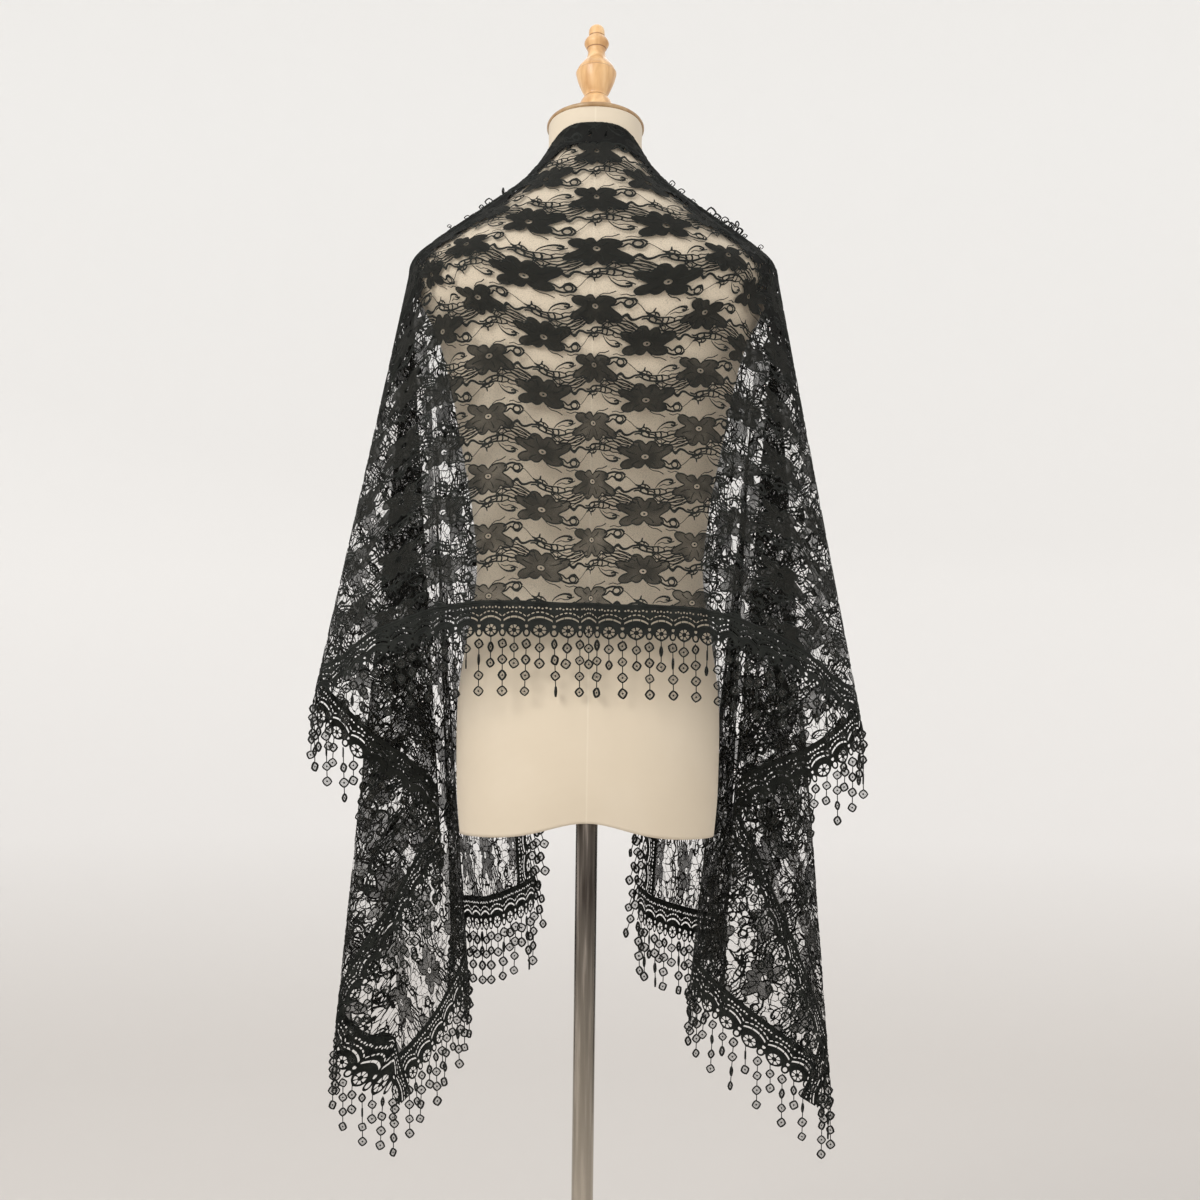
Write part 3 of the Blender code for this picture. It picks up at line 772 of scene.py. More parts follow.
def new_piece(name, points, faces, materials, kinds=None, flat=None):
    mesh = bpy.data.meshes.new(name)
    mesh.vertices.add(len(points))
    mesh.vertices.foreach_set("co", np.asarray(points, np.float32).ravel())
    mesh.loops.add(len(faces) * 3)
    mesh.loops.foreach_set("vertex_index", np.asarray(faces, np.int32).ravel())
    mesh.polygons.add(len(faces))
    mesh.polygons.foreach_set("loop_start", np.arange(0, len(faces) * 3, 3, dtype=np.int32))
    if kinds is not None:
        mesh.polygons.foreach_set("material_index", np.asarray(kinds, np.int32))
    mesh.update(calc_edges=True)
    mesh.shade_smooth()
    if flat is not None:
        layer = mesh.uv_layers.new(name="cloth")
        layer.data.foreach_set("uv", np.asarray(flat, np.float32)[np.asarray(faces).ravel()].ravel())
    for spec in materials:
        mesh.materials.append(spec)
    piece = bpy.data.objects.new(name, mesh)
    bpy.context.scene.collection.objects.link(piece)
    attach(piece, "root")
    return piece


def cloth_piece(name, part, materials):
    """A flat drawing carried onto the drape as one piece."""
    flat, heights, faces, kinds = part
    points, _, on = drape.place(flat, heights)
    keep = on[faces].all(1)
    faces, kinds = faces[keep], kinds[keep]
    used, faces = np.unique(faces, return_inverse=True)
    faces = faces.reshape(-1, 3)
    return new_piece(name, points[used], faces, materials, kinds, flat[used])


# ---------------------------------------------------------------- materials

def neck_place(rise):
    """A point on the neck's axis, this far above the top of the form."""
    axis = Vector((0.0, math.sin(NECK_LEAN), math.cos(NECK_LEAN)))
    return Vector((0.0, FORM[-1, 1], FORM[-1, 0])) + rise * axis


class Paint:
    """A material on a Principled shader. Its methods add nodes and hand back their outputs."""

    def __init__(self, name, settings):
        self.made = bpy.data.materials.new(name)
        self.made.use_nodes = True
        self.tree = self.made.node_tree
        self.shader = self.tree.nodes["Principled BSDF"]
        for key, value in settings.items():
            self.set(key, value)

    def join(self, socket, value):
        if isinstance(value, bpy.types.NodeSocket):
            self.tree.links.new(value, socket)
        else:
            socket.default_value = value

    def set(self, key, value):
        self.join(self.shader.inputs[key], value)

    def node(self, kind, inputs, output=0, **settings):
        node = self.tree.nodes.new("ShaderNode" + kind)
        for key, value in settings.items():
            setattr(node, key, value)
        for key, value in inputs.items():
            self.join(node.inputs[key], value)
        return node.outputs[output]

    def math(self, operation, *values):
        return self.node("Math", dict(enumerate(values)), operation=operation)

    def scaled(self, place, scale):
        return self.node("Mapping", {"Vector": place, "Scale": scale}) if scale else place

    def on_cloth(self, scale=None):
        return self.scaled(self.node("UVMap", {}, uv_map="cloth"), scale)

    def in_space(self, scale=None):
        return self.scaled(self.node("TexCoord", {}, "Object"), scale)

    def axis(self, place, name):
        return self.node("SeparateXYZ", {0: place}, name)

    def noise(self, place, scale, detail, distortion=0.0, output="Fac"):
        inputs = {"Vector": place, "Scale": scale, "Detail": detail, "Distortion": distortion}
        return self.node("TexNoise", inputs, output)

    def wave(self, place, direction, distortion, detail):
        inputs = {"Vector": place, "Scale": 1.0, "Distortion": distortion, "Detail": detail}
        return self.node("TexWave", inputs, "Fac", bands_direction=direction)

    def cells(self, place):
        """How far a point lies from the nearest cell's edge."""
        inputs = {"Vector": place, "Scale": 1.0}
        return self.node("TexVoronoi", inputs, "Distance", feature="DISTANCE_TO_EDGE")

    def ranged(self, source, low, high, first=0.0, last=1.0):
        inputs = {"Value": source, "From Min": low, "From Max": high, "To Min": first, "To Max": last}
        return self.node("MapRange", inputs)

    def mix(self, factor, one, other):
        return self.node("Mix", {0: factor, 6: one, 7: other}, 2, data_type="RGBA")

    def ramp(self, source, *stops):
        colour = self.node("ValToRGB", {"Fac": source}, "Color")
        bar = colour.node.color_ramp
        for element, stop in zip(bar.elements, (stops[0], stops[-1])):
            element.position = stop[0]
            element.color = (*stop[1:], 1)
        for stop in stops[1:-1]:
            bar.elements.new(stop[0]).color = (*stop[1:], 1)
        return colour

    def bump(self, source, strength, distance):
        inputs = {"Strength": strength, "Distance": distance, "Height": source}
        self.set("Normal", self.node("Bump", inputs))


def thread_material():
    """Black twisted thread."""
    settings = {"Roughness": 0.60, "Specular IOR Level": 0.18, "Sheen Weight": 0.02, "Sheen Roughness": 0.45}
    paint = Paint("black_thread", settings)
    patches = paint.noise(paint.on_cloth((1, 1, 1)), 60.0, 3.0)
    paint.set("Base Color", paint.ramp(patches, (0.30, 0.004, 0.005, 0.004), (0.70, 0.016, 0.018, 0.015)))
    paint.bump(paint.wave(paint.on_cloth((900, 900, 1)), "DIAGONAL", 3.0, 2.0), 0.35, 0.0003)
    return paint.made


def fill_material():
    """The flowers' close stitches: dark, streaked, and thin enough to let a little light by."""
    settings = {"Roughness": 0.80, "Specular IOR Level": 0.12, "Sheen Weight": 0.03, "Sheen Roughness": 0.5}
    paint = Paint("lace_fill", settings)
    stitches = paint.wave(paint.on_cloth((260, 520, 1)), "Y", 6.0, 3.0)
    paint.set("Base Color", paint.ramp(stitches, (0.2, 0.007, 0.007, 0.006), (0.8, 0.024, 0.024, 0.020)))
    paint.bump(stitches, 0.4, 0.0004)
    u = paint.axis(paint.on_cloth(), "X")
    away = paint.math("ABSOLUTE", u)
    # thinnest at the foot of the back, where only one layer hangs clear of the form
    lower = paint.ranged(paint.axis(paint.on_cloth(), "Y"), 0.20, 0.60)
    thin = paint.math("MULTIPLY", lower, paint.ranged(away, 0.16, 0.30, 1.0, 0.0))
    loose = paint.math("MAXIMUM", thin, paint.ranged(away, 0.26, 0.36))
    clouds = paint.ranged(paint.noise(paint.on_cloth((1, 1, 1)), 38.0, 2.0), 0.35, 0.70, 0.12, 0.46)
    # every second column of flowers is a little closer than the next
    turn = paint.math("COSINE", paint.math("MULTIPLY", u, math.tau / (2 * COLUMN)))
    columns = paint.ranged(turn, -1.0, 1.0, 0.55, 1.10)
    less = paint.math("MULTIPLY", paint.math("MULTIPLY", loose, clouds), columns)
    paint.set("Alpha", paint.math("SUBTRACT", 0.985, less))
    return paint.made


def net_material():
    """The ground: a fine net that is mostly air, and a closer web where the lace is gathered."""
    settings = {"Base Color": (0.010, 0.010, 0.009, 1), "Roughness": 0.8, "Specular IOR Level": 0.12}
    paint = Paint("lace_net", settings)
    fine = paint.ranged(paint.cells(paint.on_cloth((620, 480, 1))), 0.03, 0.06, 0.28, 0.0)
    # web: uneven cells, long down the cloth, with thicker threads in clumps
    bend = paint.noise(paint.on_cloth((70, 50, 1)), 1.0, 3.0, output="Color")
    drifts = {0: bend, 1: (1.5, 1.5, 0.0), 2: paint.on_cloth((135, 85, 1))}
    web = paint.cells(paint.node("VectorMath", drifts, operation="MULTIPLY_ADD"))
    clumps = paint.noise(paint.on_cloth((40, 11, 1)), 1.0, 2.0)
    v = paint.axis(paint.on_cloth(), "Y")
    away = paint.math("ABSOLUTE", paint.axis(paint.on_cloth(), "X"))
    # the gathers run from the nape over each shoulder: above the line v = 1.10 u
    over = paint.math("SUBTRACT", paint.math("MULTIPLY", away, 1.10), v)
    shoulder = paint.ranged(over, -0.012, 0.008)
    beside = paint.ranged(over, -0.024, -0.020)
    nape = paint.ranged(v, 0.074, 0.084, 1.0, 0.0)
    wings = paint.ranged(away, 0.24, 0.32)
    bunched = paint.math("MAXIMUM", shoulder, nape)
    gathered = paint.math("MAXIMUM", paint.math("MAXIMUM", beside, nape), wings)
    # threads lie closest on the shoulders and over the first part of the wings
    close = paint.math("MULTIPLY", bunched, paint.ranged(away, 0.20, 0.33, 0.30, 0.0))
    thick = paint.math("ADD", paint.ranged(clumps, 0.44, 0.70, 0.03, 0.10), close)
    webbed = paint.math("MULTIPLY", paint.math("LESS_THAN", web, thick), gathered)
    paint.set("Alpha", paint.math("MAXIMUM", fine, webbed))
    return paint.made


def jersey_material():
    """Fine beige jersey with a seam down the middle of the back."""
    paint = Paint("form_jersey", {"Roughness": 0.88, "Sheen Weight": 0.12, "Sheen Roughness": 0.5})
    clouds = paint.noise(paint.in_space(), 7.0, 4.0)
    knit = paint.wave(paint.in_space((300, 300, 260)), "Z", 1.2, 1.0)
    stops = (0.30, 0.645, 0.552, 0.425), (0.55, 0.678, 0.584, 0.452), (0.75, 0.698, 0.608, 0.480)
    across = paint.math("ABSOLUTE", paint.axis(paint.in_space(), "X"))
    behind = paint.math("LESS_THAN", paint.axis(paint.in_space(), "Y"), 0.0)
    seam = paint.math("MULTIPLY", paint.ranged(across, 0.0004, 0.0014, 0.35, 0.0), behind)
    paint.set("Base Color", paint.mix(seam, paint.ramp(clouds, *stops), (0.80, 0.72, 0.58, 1)))
    paint.bump(paint.math("MULTIPLY_ADD", seam, -2.0, knit), 0.25, 0.0004)
    return paint.made


def wood_material(name, dark=1.0, grooves=()):
    """Turned light wood under varnish, its grain along the finial, with dark rings of painted shade in its
    turned grooves.
    """
    paint = Paint(name, {"Roughness": 0.40, "Coat Weight": 0.3, "Coat Roughness": 0.15})
    grain = paint.noise(paint.in_space((90, 90, 14)), 1.0, 5.0, 0.6)
    stops = (0.30, 0.55, 0.290, 0.105), (0.55, 0.76, 0.470, 0.215), (0.75, 0.88, 0.610, 0.320)
    # dark below 1 makes a copy of the wood darkened as painted shade
    colour = paint.ramp(grain, *[(place, *(part * dark for part in rgb)) for place, *rgb in stops])
    foot = neck_place(0.0)
    axis = neck_place(1.0) - foot
    dot = {0: paint.in_space(), 1: axis[:]}
    along = paint.node("VectorMath", dot, "Value", operation="DOT_PRODUCT")
    for height, half in grooves:
        level = foot.dot(axis) + CAP_THICKNESS + 2 * GAP + height
        far = paint.math("ABSOLUTE", paint.math("SUBTRACT", along, level))
        # painted shade: a brown ring darkens the wood in each groove
        colour = paint.mix(paint.ranged(far, half, 2 * half, 0.8, 0.0), colour, GROOVE_SHADE_BROWN)
    paint.set("Base Color", colour)
    paint.bump(grain, 0.08, 0.0005)
    return paint.made


# Turned grooves of the finial, each darkened by a ring of painted shade: height and half width.
GROOVES = ((0.0715, 0.0004), (0.0378, 0.0005), (0.1040, 0.0004), (0.1216, 0.0004), (0.0015, 0.0006))
GROOVE_SHADE_BROWN = (0.22, 0.09, 0.03, 1)


def metal_material():
    """Plated tube with faint wear along its length, and a painted reflection that makes it lighter and
    warmer towards its foot.
    """
    paint = Paint("chrome_tube", {"Metallic": 1.0})
    wear = paint.noise(paint.in_space((160, 160, 6)), 1.0, 4.0)
    stops = (0.36, 0.050, 0.042, 0.036), (0.50, 0.110, 0.096, 0.083), (0.62, 0.300, 0.265, 0.235)
    # painted reflection: towards the foot the base colour is mixed to a warm pale tone, like the floor
    # mirrored in the chrome
    foot = paint.ranged(paint.axis(paint.in_space(), "Z"), 0.62, 0.20, 0.0, 0.75)
    paint.set("Base Color", paint.mix(foot, paint.ramp(wear, *stops), (0.60, 0.54, 0.45, 1)))
    paint.set("Roughness", paint.ranged(wear, 0.3, 0.7, 0.16, 0.26))
    return paint.made


def ring_web_material():
    """The thin web that fills the fringe's rings."""
    paint = Paint("ring_web", {"Base Color": (0.05, 0.048, 0.042, 1), "Roughness": 0.8})
    paint.set("Alpha", paint.ranged(paint.noise(paint.in_space(), 900.0, 2.0), 0.4, 0.6, 0.25, 0.6))
    return paint.made


def base_material():
    """Dark plated steel, brushed round."""
    paint = Paint("base_plate", {"Metallic": 1.0})
    brushed = paint.noise(paint.in_space(), 6.0, 3.0)
    paint.set("Base Color", paint.ramp(brushed, (0.3, 0.20, 0.18, 0.165), (0.7, 0.24, 0.22, 0.20)))
    paint.set("Roughness", paint.ranged(brushed, 0.3, 0.7, 0.30, 0.38))
    return paint.made


thread = thread_material()
ring_web = ring_web_material()
fill = fill_material()
net = net_material()
jersey = jersey_material()
wood = wood_material("light_wood", grooves=GROOVES)
# painted shade: the cap is the finial's light wood at half brightness, darkened for the shadow gap at its
# base
shaded_cap_wood = wood_material("shaded_cap_wood", dark=0.50)
metal = metal_material()
base_metal = base_material()

# ---------------------------------------------------------------- form and stand

FORM_SIDES = 128
FORM_STEPS = 8
SHARP_EDGE = math.radians(35)


def level_rings(profile, sides):
    """Level rings of points round the Z axis, one for each radius and height."""
    rounds = [circle((0.0, 0.0), radius, sides=sides) for radius, _ in profile]
    return [np.c_[points, np.full(sides, height)] for points, (_, height) in zip(rounds, profile)]


def capped_rings(rings, bottom, top):
    """Points and faces of rings stacked from the bottom up and closed at both ends."""
    sides = len(rings[0])
    here = np.arange(sides)
    after = (here + 1) % sides
    count = len(rings) * sides
    last = count - sides
    faces = []
    for low in range(0, last, sides):
        high = low + sides
        faces.append(np.stack([low + here, low + after, high + after], -1))
        faces.append(np.stack([low + here, high + after, high + here], -1))
    faces.append(np.stack([after, here, np.full(sides, count)], -1))
    faces.append(np.stack([last + here, last + after, np.full(sides, count + 1)], -1))
    return np.vstack([*rings, bottom, top]), np.concatenate(faces)


def make_form():
    """The torso on the part's own levels, fine enough to be smooth."""
    levels = np.linspace(0, len(FORM) - 1, (len(FORM) - 1) * FORM_STEPS + 1)
    angles = math.tau * np.arange(FORM_SIDES) / FORM_SIDES
    rings = form_points(*np.meshgrid(levels, angles, indexing="ij"))
    fade = np.clip(1.0 - (rings[..., 2] - FORM[0, 0]) / NOTCH_FADE, 0, None)
    rings[..., 2] += NOTCH_HEIGHT * np.exp(-((rings[..., 0] / NOTCH_HALF_WIDTH) ** 2)) * fade
    seat_middle = np.array([0.0, 0.0, FORM[0, 0] + NOTCH_HEIGHT])
    seat = circle((0.0, 0.0), SEAT_RADIUS, sides=FORM_SIDES, turn=-math.pi / 2)
    seat = np.c_[seat, np.full(FORM_SIDES, seat_middle[2])]
    under = [rings[0] + (seat - rings[0]) * share for share in (1.0, 0.66, 0.33, 0.10)]
    top_middle = rings[-1].mean(0)
    over = [rings[-1] + (top_middle - rings[-1]) * share for share in (0.05, 0.5)]
    points, faces = capped_rings([*under, *rings, *over], seat_middle, top_middle)
    piece = new_piece("form_cover", points, faces, [jersey])
    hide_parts("form_torso")


def turned_piece(name, outline, sides, spec, placing, node):
    """A turned wooden piece: (height, radius) from the bottom up, moved to its place."""
    rings = level_rings([(radius, height) for height, radius in outline], sides)
    points, faces = capped_rings(rings, (0.0, 0.0, outline[0][0]), (0.0, 0.0, outline[-1][0]))
    matrix = np.array(placing)
    points = points @ matrix[:3, :3].T + matrix[:3, 3]
    piece = new_piece(name, points, faces, [spec])
    piece.data.set_sharp_from_angle(angle=SHARP_EDGE)
    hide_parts(node)


def on_neck(rise):
    """The place and lean of a piece that stands this far above the top of the form."""
    return Matrix.Translation(neck_place(rise)) @ Matrix.Rotation(-NECK_LEAN, 4, "X")


make_form()
half_cap = [(0.0, CAP_EDGE), (CAP_EDGE * 0.4, CAP_EDGE * 0.3), (CAP_EDGE, 0.0)]
cap_outline = [(height, CAP_RADIUS - inset) for height, inset in half_cap]
cap_outline += [(CAP_THICKNESS - height, radius) for height, radius in reversed(cap_outline)]
turned_piece("cap", cap_outline, 96, shaded_cap_wood, on_neck(GAP), "neck_cap")
finial_seat = on_neck(CAP_THICKNESS + 2 * GAP)
turned_piece("turned_finial", smooth_line(FINIAL, 5), 64, wood, finial_seat, "finial")
for node, spec in (("stand_pole", metal), ("stand_base", base_metal)):
    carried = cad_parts[node]
    carried.data.materials.clear()
    carried.data.materials.append(spec)

# ---------------------------------------------------------------- lace ground

GROUND_COLUMNS = 8
GROUND_ROWS = 64


def make_ground():
    """The net between the trims, in one sheet round the whole shawl."""
    places = np.arange(-FRONT_SEAM * GROUND_COLUMNS, FRONT_SEAM * GROUND_COLUMNS + 1) / GROUND_COLUMNS
    points, _, flat = drape_grid(places)
    rows = points.shape[1]
    made_points, made_flat = [], []
    for column in range(len(places)):
        u, v = np.abs(flat[column, :, 0]), flat[column, :, 1]
        outside = np.maximum(v - PANEL_BOTTOM, u - PANEL_U)
        last = rows - 1
        if (outside > 0).any():
            over = int(np.argmax(outside > 0))
            last = over - outside[over] / (outside[over] - outside[over - 1])
        at = np.linspace(0, last, GROUND_ROWS)
        low = np.minimum(at.astype(int), rows - 2)
        share = (at - low)[:, None]
        made_points.append(points[column, low] * (1 - share) + points[column, low + 1] * share)
        made_flat.append(flat[column, low] * (1 - share) + flat[column, low + 1] * share)
    faces = grid_triangles(len(places), GROUND_ROWS)
    ground = new_piece(
        "lace_ground",
        np.concatenate(made_points),
        faces,
        [net],
        flat=np.concatenate(made_flat),
    )
    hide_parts("lace_back", "lace_front_left", "lace_front_right")
    return ground


# ---------------------------------------------------------------- lace figures

# The figures are grouped by how far they lie from the middle of the back.
BACK_FIGURES = 0.22
INNER_FIGURES = 0.60
# How far a figure that still shows may reach past its eye.
FIGURE_LEFT = 52 * MM
FIGURE_RIGHT = 101 * MM
FIGURE_HALF_HEIGHT = 25 * MM


def make_figures():
    repeat = figure()
    upside_down = moved(repeat, scale=(1.0, -1.0))
    groups = {name: [] for name in ("left_outer", "left_inner", "back", "right_inner", "right_outer")}
    columns = int(PANEL_U / COLUMN) + 3
    rows = int(SHAWL_WIDTH / ROW) + 3
    for column in range(-columns, columns + 1):
        u = FIRST_COLUMN + column * COLUMN
        odd = column % 2
        for row in range(-1, rows):
            v = FIRST_ROW + (row + 0.5 * odd) * ROW
            if u + FIGURE_RIGHT < -PANEL_U or u - FIGURE_LEFT > PANEL_U:
                continue
            if v < PANEL_TOP - FIGURE_HALF_HEIGHT or v > PANEL_BOTTOM + FIGURE_HALF_HEIGHT:
                continue
            # v runs down the cloth, so the upright flower is the one turned over
            drawn = moved(repeat if odd else upside_down, (u, v))
            side = "left" if u < 0 else "right"
            if abs(u) < BACK_FIGURES:
                side = "back"
            else:
                side += "_inner" if abs(u) < INNER_FIGURES else "_outer"
            groups[side].append(clip_to_panel(drawn))
    made = []
    for side, parts in groups.items():
        made.append(cloth_piece(f"lace_figures_{side}", merge(parts), [thread, fill]))
    return made


# Edges of the flat shawl: name, where the edge starts and ends, and the way out of the cloth.
HEM_CORNER = (SHAWL_HALF_LENGTH, PANEL_BOTTOM)
EDGES = [("hem", (-HEM_CORNER[0], HEM_CORNER[1]), HEM_CORNER, (0, 1))]
for side, side_name in ((-1, "left"), (1, "right")):
    end = side * PANEL_U
    EDGES.append((f"end_{side_name}", (end, PANEL_BOTTOM), (end, 0.0), (side, 0)))
    EDGES.append((f"front_{side_name}", (side * NECK_U, PANEL_TOP), (end, PANEL_TOP), (0, -1)))
NECK_EDGE = ("neck", (-NECK_U, PANEL_TOP), (NECK_U, PANEL_TOP), (0, -1))


def make_trims():
    pieces = []
    for name, first, last, outwards in (*EDGES, NECK_EDGE):
        way = np.subtract(last, first)
        drawn = laid(band(np.linalg.norm(way)), first, unit(way), outwards)
        piece = cloth_piece(f"trim_{name}_lace", drawn, [thread, fill])
        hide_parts(f"trim_{name}")
        pieces.append(piece)
    return pieces


# ---------------------------------------------------------------- fringe

RING_RADIUS = 4.6 * MM
RING_THICK = 2.2 * MM
RING_BULGE = 0.10
HELD_AT = 0.9
STRAND_RADIUS = 0.65 * MM
KNOT = 1.35 * MM
RING_SIDES = 12
TWISTED_SHARE = 0.13
TUBE_SIDES = 4
LONG_RINGS = (6.5, 24.0, 41.5, 59.0)
SHORT_RINGS = (10.5, 28.0)
FRINGE_V = TRIM_DEPTH - 1.5 * MM


def fringe_ring():
    """A worked ring in the XZ plane: a cord bent round into a rounded diamond, a knot and a web."""
    angle = math.tau * np.arange(RING_SIDES)[:, None] / RING_SIDES
    turn = math.tau * (np.arange(TUBE_SIDES) + 0.5) / TUBE_SIDES
    radius = RING_RADIUS * (1.0 + RING_BULGE * np.cos(4 * angle)) + RING_THICK / 2 * np.cos(turn)
    deep = np.broadcast_to(0.6 * RING_THICK * np.sin(turn), radius.shape)
    cord = np.stack([np.cos(angle) * radius, deep, np.sin(angle) * radius], -1).reshape(-1, 3)
    here = np.arange(len(cord)).reshape(RING_SIDES, TUBE_SIDES)
    beside, ahead = np.roll(here, -1, 1), np.roll(here, -1, 0)
    across = np.roll(beside, -1, 0)
    cord_faces = np.stack([here, across, beside, here, ahead, across], -1).reshape(-1, 3)
    x, y, z = np.eye(3) * [KNOT, KNOT * 0.7, KNOT]
    knot = [x, -x, y, -y, z, -z]
    sides = [(0, 2, 4), (2, 1, 4), (1, 3, 4), (3, 0, 4), (2, 0, 5), (1, 2, 5), (3, 1, 5), (0, 3, 5)]
    rim = circle((0.0, 0.0), RING_RADIUS, sides=8)
    web = np.stack([rim[:, 0], np.zeros(8), rim[:, 1]], -1)
    fan = [(0, k, k + 1) for k in range(1, 7)]
    faces = [cord_faces, np.array(sides) + len(cord), np.array(fan) + len(cord) + len(knot)]
    kinds = np.repeat([THREAD, THREAD, FILL], [len(shape) for shape in faces])
    return np.vstack([cord, knot, web]), np.concatenate(faces), kinds


def tube(start, end, radius):
    """A thin three-sided thread between two points."""
    axis = unit(end - start)
    side = unit(np.cross(axis, [0.31, 0.87, 0.12]))
    turn = math.tau * np.arange(3)[:, None] / 3
    around = radius * (side * np.cos(turn) + np.cross(axis, side) * np.sin(turn))
    faces = [(0, 1, 4), (0, 4, 3), (1, 2, 5), (1, 5, 4), (2, 0, 3), (2, 3, 5)]
    return np.vstack([start + around, end + around]), np.array(faces)


def joined(parts):
    """Meshes as one: points, triangles and each triangle's kind."""
    points, faces, kinds = [], [], []
    start = 0
    for made, shape, kind in parts:
        points.append(made)
        faces.append(shape + start)
        kinds.append(np.broadcast_to(kind, (len(shape),)))
        start += len(made)
    return np.concatenate(points), np.concatenate(faces), np.concatenate(kinds)


RING_POINTS, RING_FACES, RING_KINDS = fringe_ring()


def fringe_strand(anchor, lean, rings, turn):
    """One strand that hangs from its anchor."""
    parts = []
    direction = unit(lean + np.array([0.0, 0.0, -1.0]))
    before = anchor
    for at in rings:
        middle = anchor + direction * at * MM
        yaw = turn + rng.normal(0, 0.45)
        if rng.random() < TWISTED_SHARE:
            yaw += 1.25
        tilt = rng.normal(0, 0.18)
        matrix = np.array(Matrix.Rotation(yaw, 3, "Z") @ Matrix.Rotation(tilt, 3, "Y"))
        size = rng.uniform(0.93, 1.08)
        parts.append((RING_POINTS @ matrix.T * size + middle, RING_FACES, RING_KINDS))
        held = direction * RING_RADIUS * HELD_AT
        parts.append((*tube(before, middle - held, STRAND_RADIUS), THREAD))
        before = middle + held
    return joined(parts)


def fringe_line(name, first, last, outwards, lean_to):
    """A row of strands along an edge of the flat cloth, long and short by turns."""
    first, last, outwards = (np.asarray(p, float) for p in (first, last, outwards))
    count = max(int(round(np.linalg.norm(last - first) / ARCH)) * 2, 2)
    share = np.arange(count + 1) / count
    share[0], share[-1] = 0.002, 0.998
    flat = first + (last - first) * share[:, None] + outwards * FRINGE_V
    anchors, normals, on = drape.place(flat, np.zeros(len(flat)))
    parts = []
    for k in np.flatnonzero(on):
        sway = np.array([rng.normal(0, 0.035), rng.normal(0, 0.03), 0.0]) + lean_to
        turn = math.atan2(normals[k][1], normals[k][0]) + math.pi / 2
        turn = (turn + math.pi / 2) % math.pi - math.pi / 2
        rings = SHORT_RINGS if k % 2 else LONG_RINGS
        parts.append(fringe_strand(anchors[k], sway, rings, 0.6 * turn))
    points, faces, kinds = joined(parts)
    piece = new_piece(
        f"{name}_rings", points, faces, [thread, ring_web], kinds, points[:, [0, 2]]
    )
    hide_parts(name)
    return piece


def make_fringes():
    pieces = []
    for name, first, last, outwards in EDGES:
        # at the fronts the strands fall back against the cloth's edge
        lean_to = (-0.30 * np.sign(first[0]), -0.02, 0.0) if name.startswith("front") else (0.0, 0.0, 0.0)
        pieces.append(fringe_line(f"fringe_{name}", first, last, outwards, np.array(lean_to)))
    return pieces


# Loops of the turned edge that stand up along the shoulders: side, fold, share of the way from
# the collar to the shoulder, size, and how far the loop's middle stands off the cloth.
EDGE_LOOPS = (
    (1, 4.4, 0.15, 0.8, 4.0),
    (1, 3.6, 0.24, 1.0, 3.0),
    (1, 4.7, 0.31, 0.7, 5.5),
    (1, 4.0, 0.44, 1.3, 4.5),
    (1, 4.6, 0.47, 0.9, 8.0),
    (1, 3.4, 0.49, 1.2, 3.5),
    (1, 4.2, 0.53, 1.0, 6.5),
    (1, 4.8, 0.555, 1.4, 4.0),
    (1, 3.7, 0.58, 0.9, 3.0),
    (1, 4.3, 0.60, 0.8, 9.0),
    (1, 3.9, 0.63, 1.3, 5.0),
    (1, 4.5, 0.67, 0.8, 3.0),
    (1, 4.1, 0.78, 0.7, 4.5),
    (-1, 4.4, 0.26, 0.8, 4.0),
    (-1, 3.8, 0.37, 1.1, 3.5),
    (-1, 4.6, 0.41, 0.8, 6.0),
    (-1, 4.0, 0.52, 0.9, 3.0),
    (-1, 4.4, 0.63, 0.6, 4.0),
)


LOOP_SCALE = 0.85
STEM_RADIUS = 0.7 * MM


def make_edge_loops():
    """The loops, each a ring of the fringe's cord on a short stem."""
    parts = []
    open_ring = RING_FACES[: RING_SIDES * TUBE_SIDES * 2]
    for side, fold, share, size, reach in EDGE_LOOPS:
        row = np.array([np.interp(fold, range(len(CLOTH_FOLDS)), column) for column in CLOTH_FOLDS.T])
        flat = row[:2] + (row[2:4] - row[:2]) * share
        flat[0] *= side
        foot, normal, _ = drape.place(flat[None], np.zeros(1))
        middle = foot[0] + normal[0] * reach * MM
        matrix = np.array(Matrix.Rotation(rng.normal(0, 0.5), 3, "Z"))
        squash = (1.0, 1.0, rng.uniform(0.6, 1.1))
        parts.append((RING_POINTS * squash @ matrix.T * size * LOOP_SCALE + middle, open_ring, THREAD))
        parts.append((*tube(foot[0], middle, STEM_RADIUS), THREAD))
    points, faces, _ = joined(parts)
    used, faces = np.unique(faces, return_inverse=True)
    points = points[used]
    return new_piece(
        "edge_loops", points, faces.reshape(-1, 3), [thread], flat=points[:, [0, 2]]
    )


ground = make_ground()
loops = make_edge_loops()
figures = make_figures()
trims = make_trims()
fringes = make_fringes()

# ---------------------------------------------------------------- room, light and camera

ROOM_RADIUS = 6.0
SWEEP = 3.4
WALL_HEIGHT = 5.0
SWEEP_STEPS = 16
ROOM_SIDES = 96


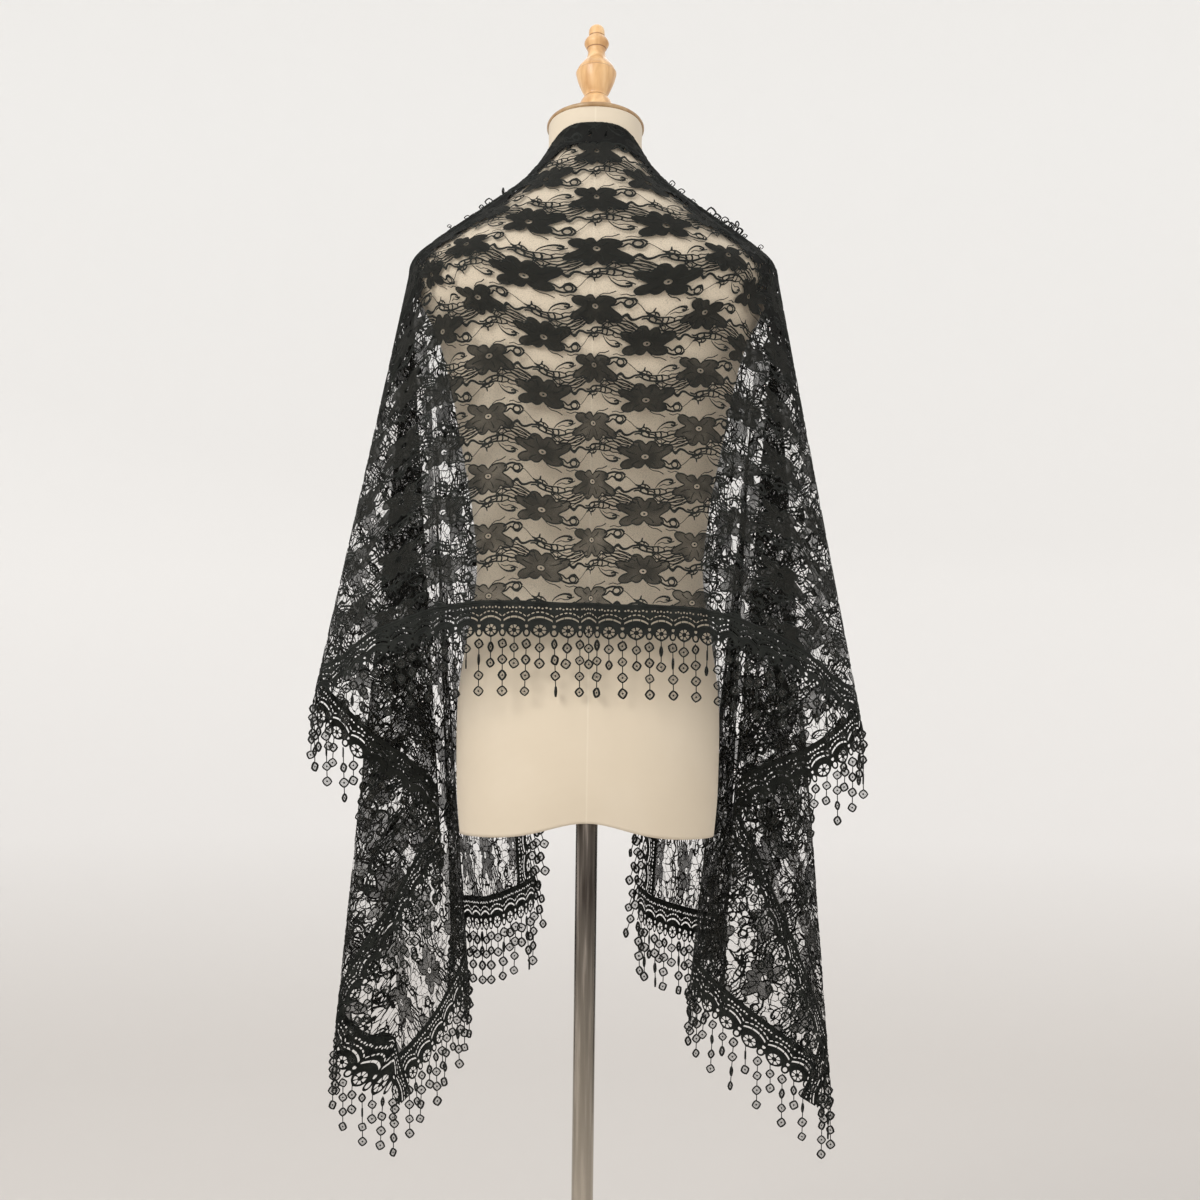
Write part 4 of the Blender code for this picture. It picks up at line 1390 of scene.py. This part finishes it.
def make_room():
    """A pale floor that sweeps up into a round wall, with painted shade that makes it darker low down and
    lighter up the wall.
    """
    turns = math.pi / 2 * np.arange(1, SWEEP_STEPS + 1) / SWEEP_STEPS
    flat_radius = ROOM_RADIUS - SWEEP
    curve = [(flat_radius + SWEEP * math.sin(turn), SWEEP * (1 - math.cos(turn))) for turn in turns]
    profile = [(0.0, 0.0), (flat_radius, 0.0), *curve, (ROOM_RADIUS, WALL_HEIGHT)]
    rings = level_rings(profile, ROOM_SIDES)
    here = np.arange(ROOM_SIDES)
    after = (here + 1) % ROOM_SIDES
    faces = []
    for low in range(0, (len(profile) - 1) * ROOM_SIDES, ROOM_SIDES):
        high = low + ROOM_SIDES
        faces += np.stack([low + here, low + after, high + after, high + here], -1).tolist()
    mesh = bpy.data.meshes.new("room")
    mesh.from_pydata(np.concatenate(rings).tolist(), [], faces)
    mesh.shade_smooth()
    room = bpy.data.objects.new("room", mesh)
    bpy.context.scene.collection.objects.link(room)
    paint = Paint("room_paint", {"Roughness": 0.95})
    # painted shade: the colour darkens from the wall down to the floor
    height = paint.ranged(paint.axis(paint.in_space(), "Z"), 0.0, 2.4)
    floor = (0.0, 0.58, 0.545, 0.51), (0.15, 0.74, 0.715, 0.69)
    wall = (0.42, 0.83, 0.81, 0.785), (1.0, 0.87, 0.86, 0.84)
    paint.set("Base Color", paint.ramp(height, *floor, *wall))
    mesh.materials.append(paint.made)


def area_light(name, place, target, size, power, colour):
    light = bpy.data.lights.new(name, "AREA")
    light.shape = "RECTANGLE"
    light.size, light.size_y = size
    light.energy = power
    light.color = colour
    lamp = bpy.data.objects.new(name, light)
    lamp.location = place
    lamp.rotation_euler = (Vector(target) - Vector(place)).to_track_quat("-Z", "Y").to_euler()
    bpy.context.scene.collection.objects.link(lamp)


make_room()
area_light("key", (-2.6, -3.2, 3.6), (0.0, 0.0, 1.1), (2.4, 2.0), 105, (1.0, 0.985, 0.96))
area_light("fill", (2.8, -2.6, 1.8), (0.0, 0.0, 0.9), (2.0, 2.4), 12, (1.0, 0.97, 0.93))
area_light("back", (0.6, 3.6, 3.4), (0.0, 0.0, 1.0), (3.0, 2.0), 22, (0.97, 0.985, 1.0))
world = bpy.data.worlds.new("soft_room")
world.use_nodes = True
world.node_tree.nodes["Background"].inputs["Color"].default_value = (0.97, 0.98, 1.0, 1)
world.node_tree.nodes["Background"].inputs["Strength"].default_value = 1.03
bpy.context.scene.world = world

CAMERA_DISTANCE = 3.4
CAMERA_HEIGHT = 0.959
CAMERA_SIDE = 0.012
CAMERA_ROLL = math.radians(0.71)
camera_data = bpy.data.cameras.new("camera")
camera_data.lens = 88.7
camera_data.sensor_width = 36.0
camera = bpy.data.objects.new("camera", camera_data)
camera.matrix_world = (
    Matrix.Translation((CAMERA_SIDE, -CAMERA_DISTANCE, CAMERA_HEIGHT))
    @ Matrix.Rotation(math.radians(90), 4, "X")
    @ Matrix.Rotation(CAMERA_ROLL, 4, "Z")
)
bpy.context.scene.collection.objects.link(camera)
bpy.context.scene.camera = camera
bpy.context.scene.view_settings.view_transform = "Standard"
bpy.context.scene.cycles.transparent_max_bounces = 24
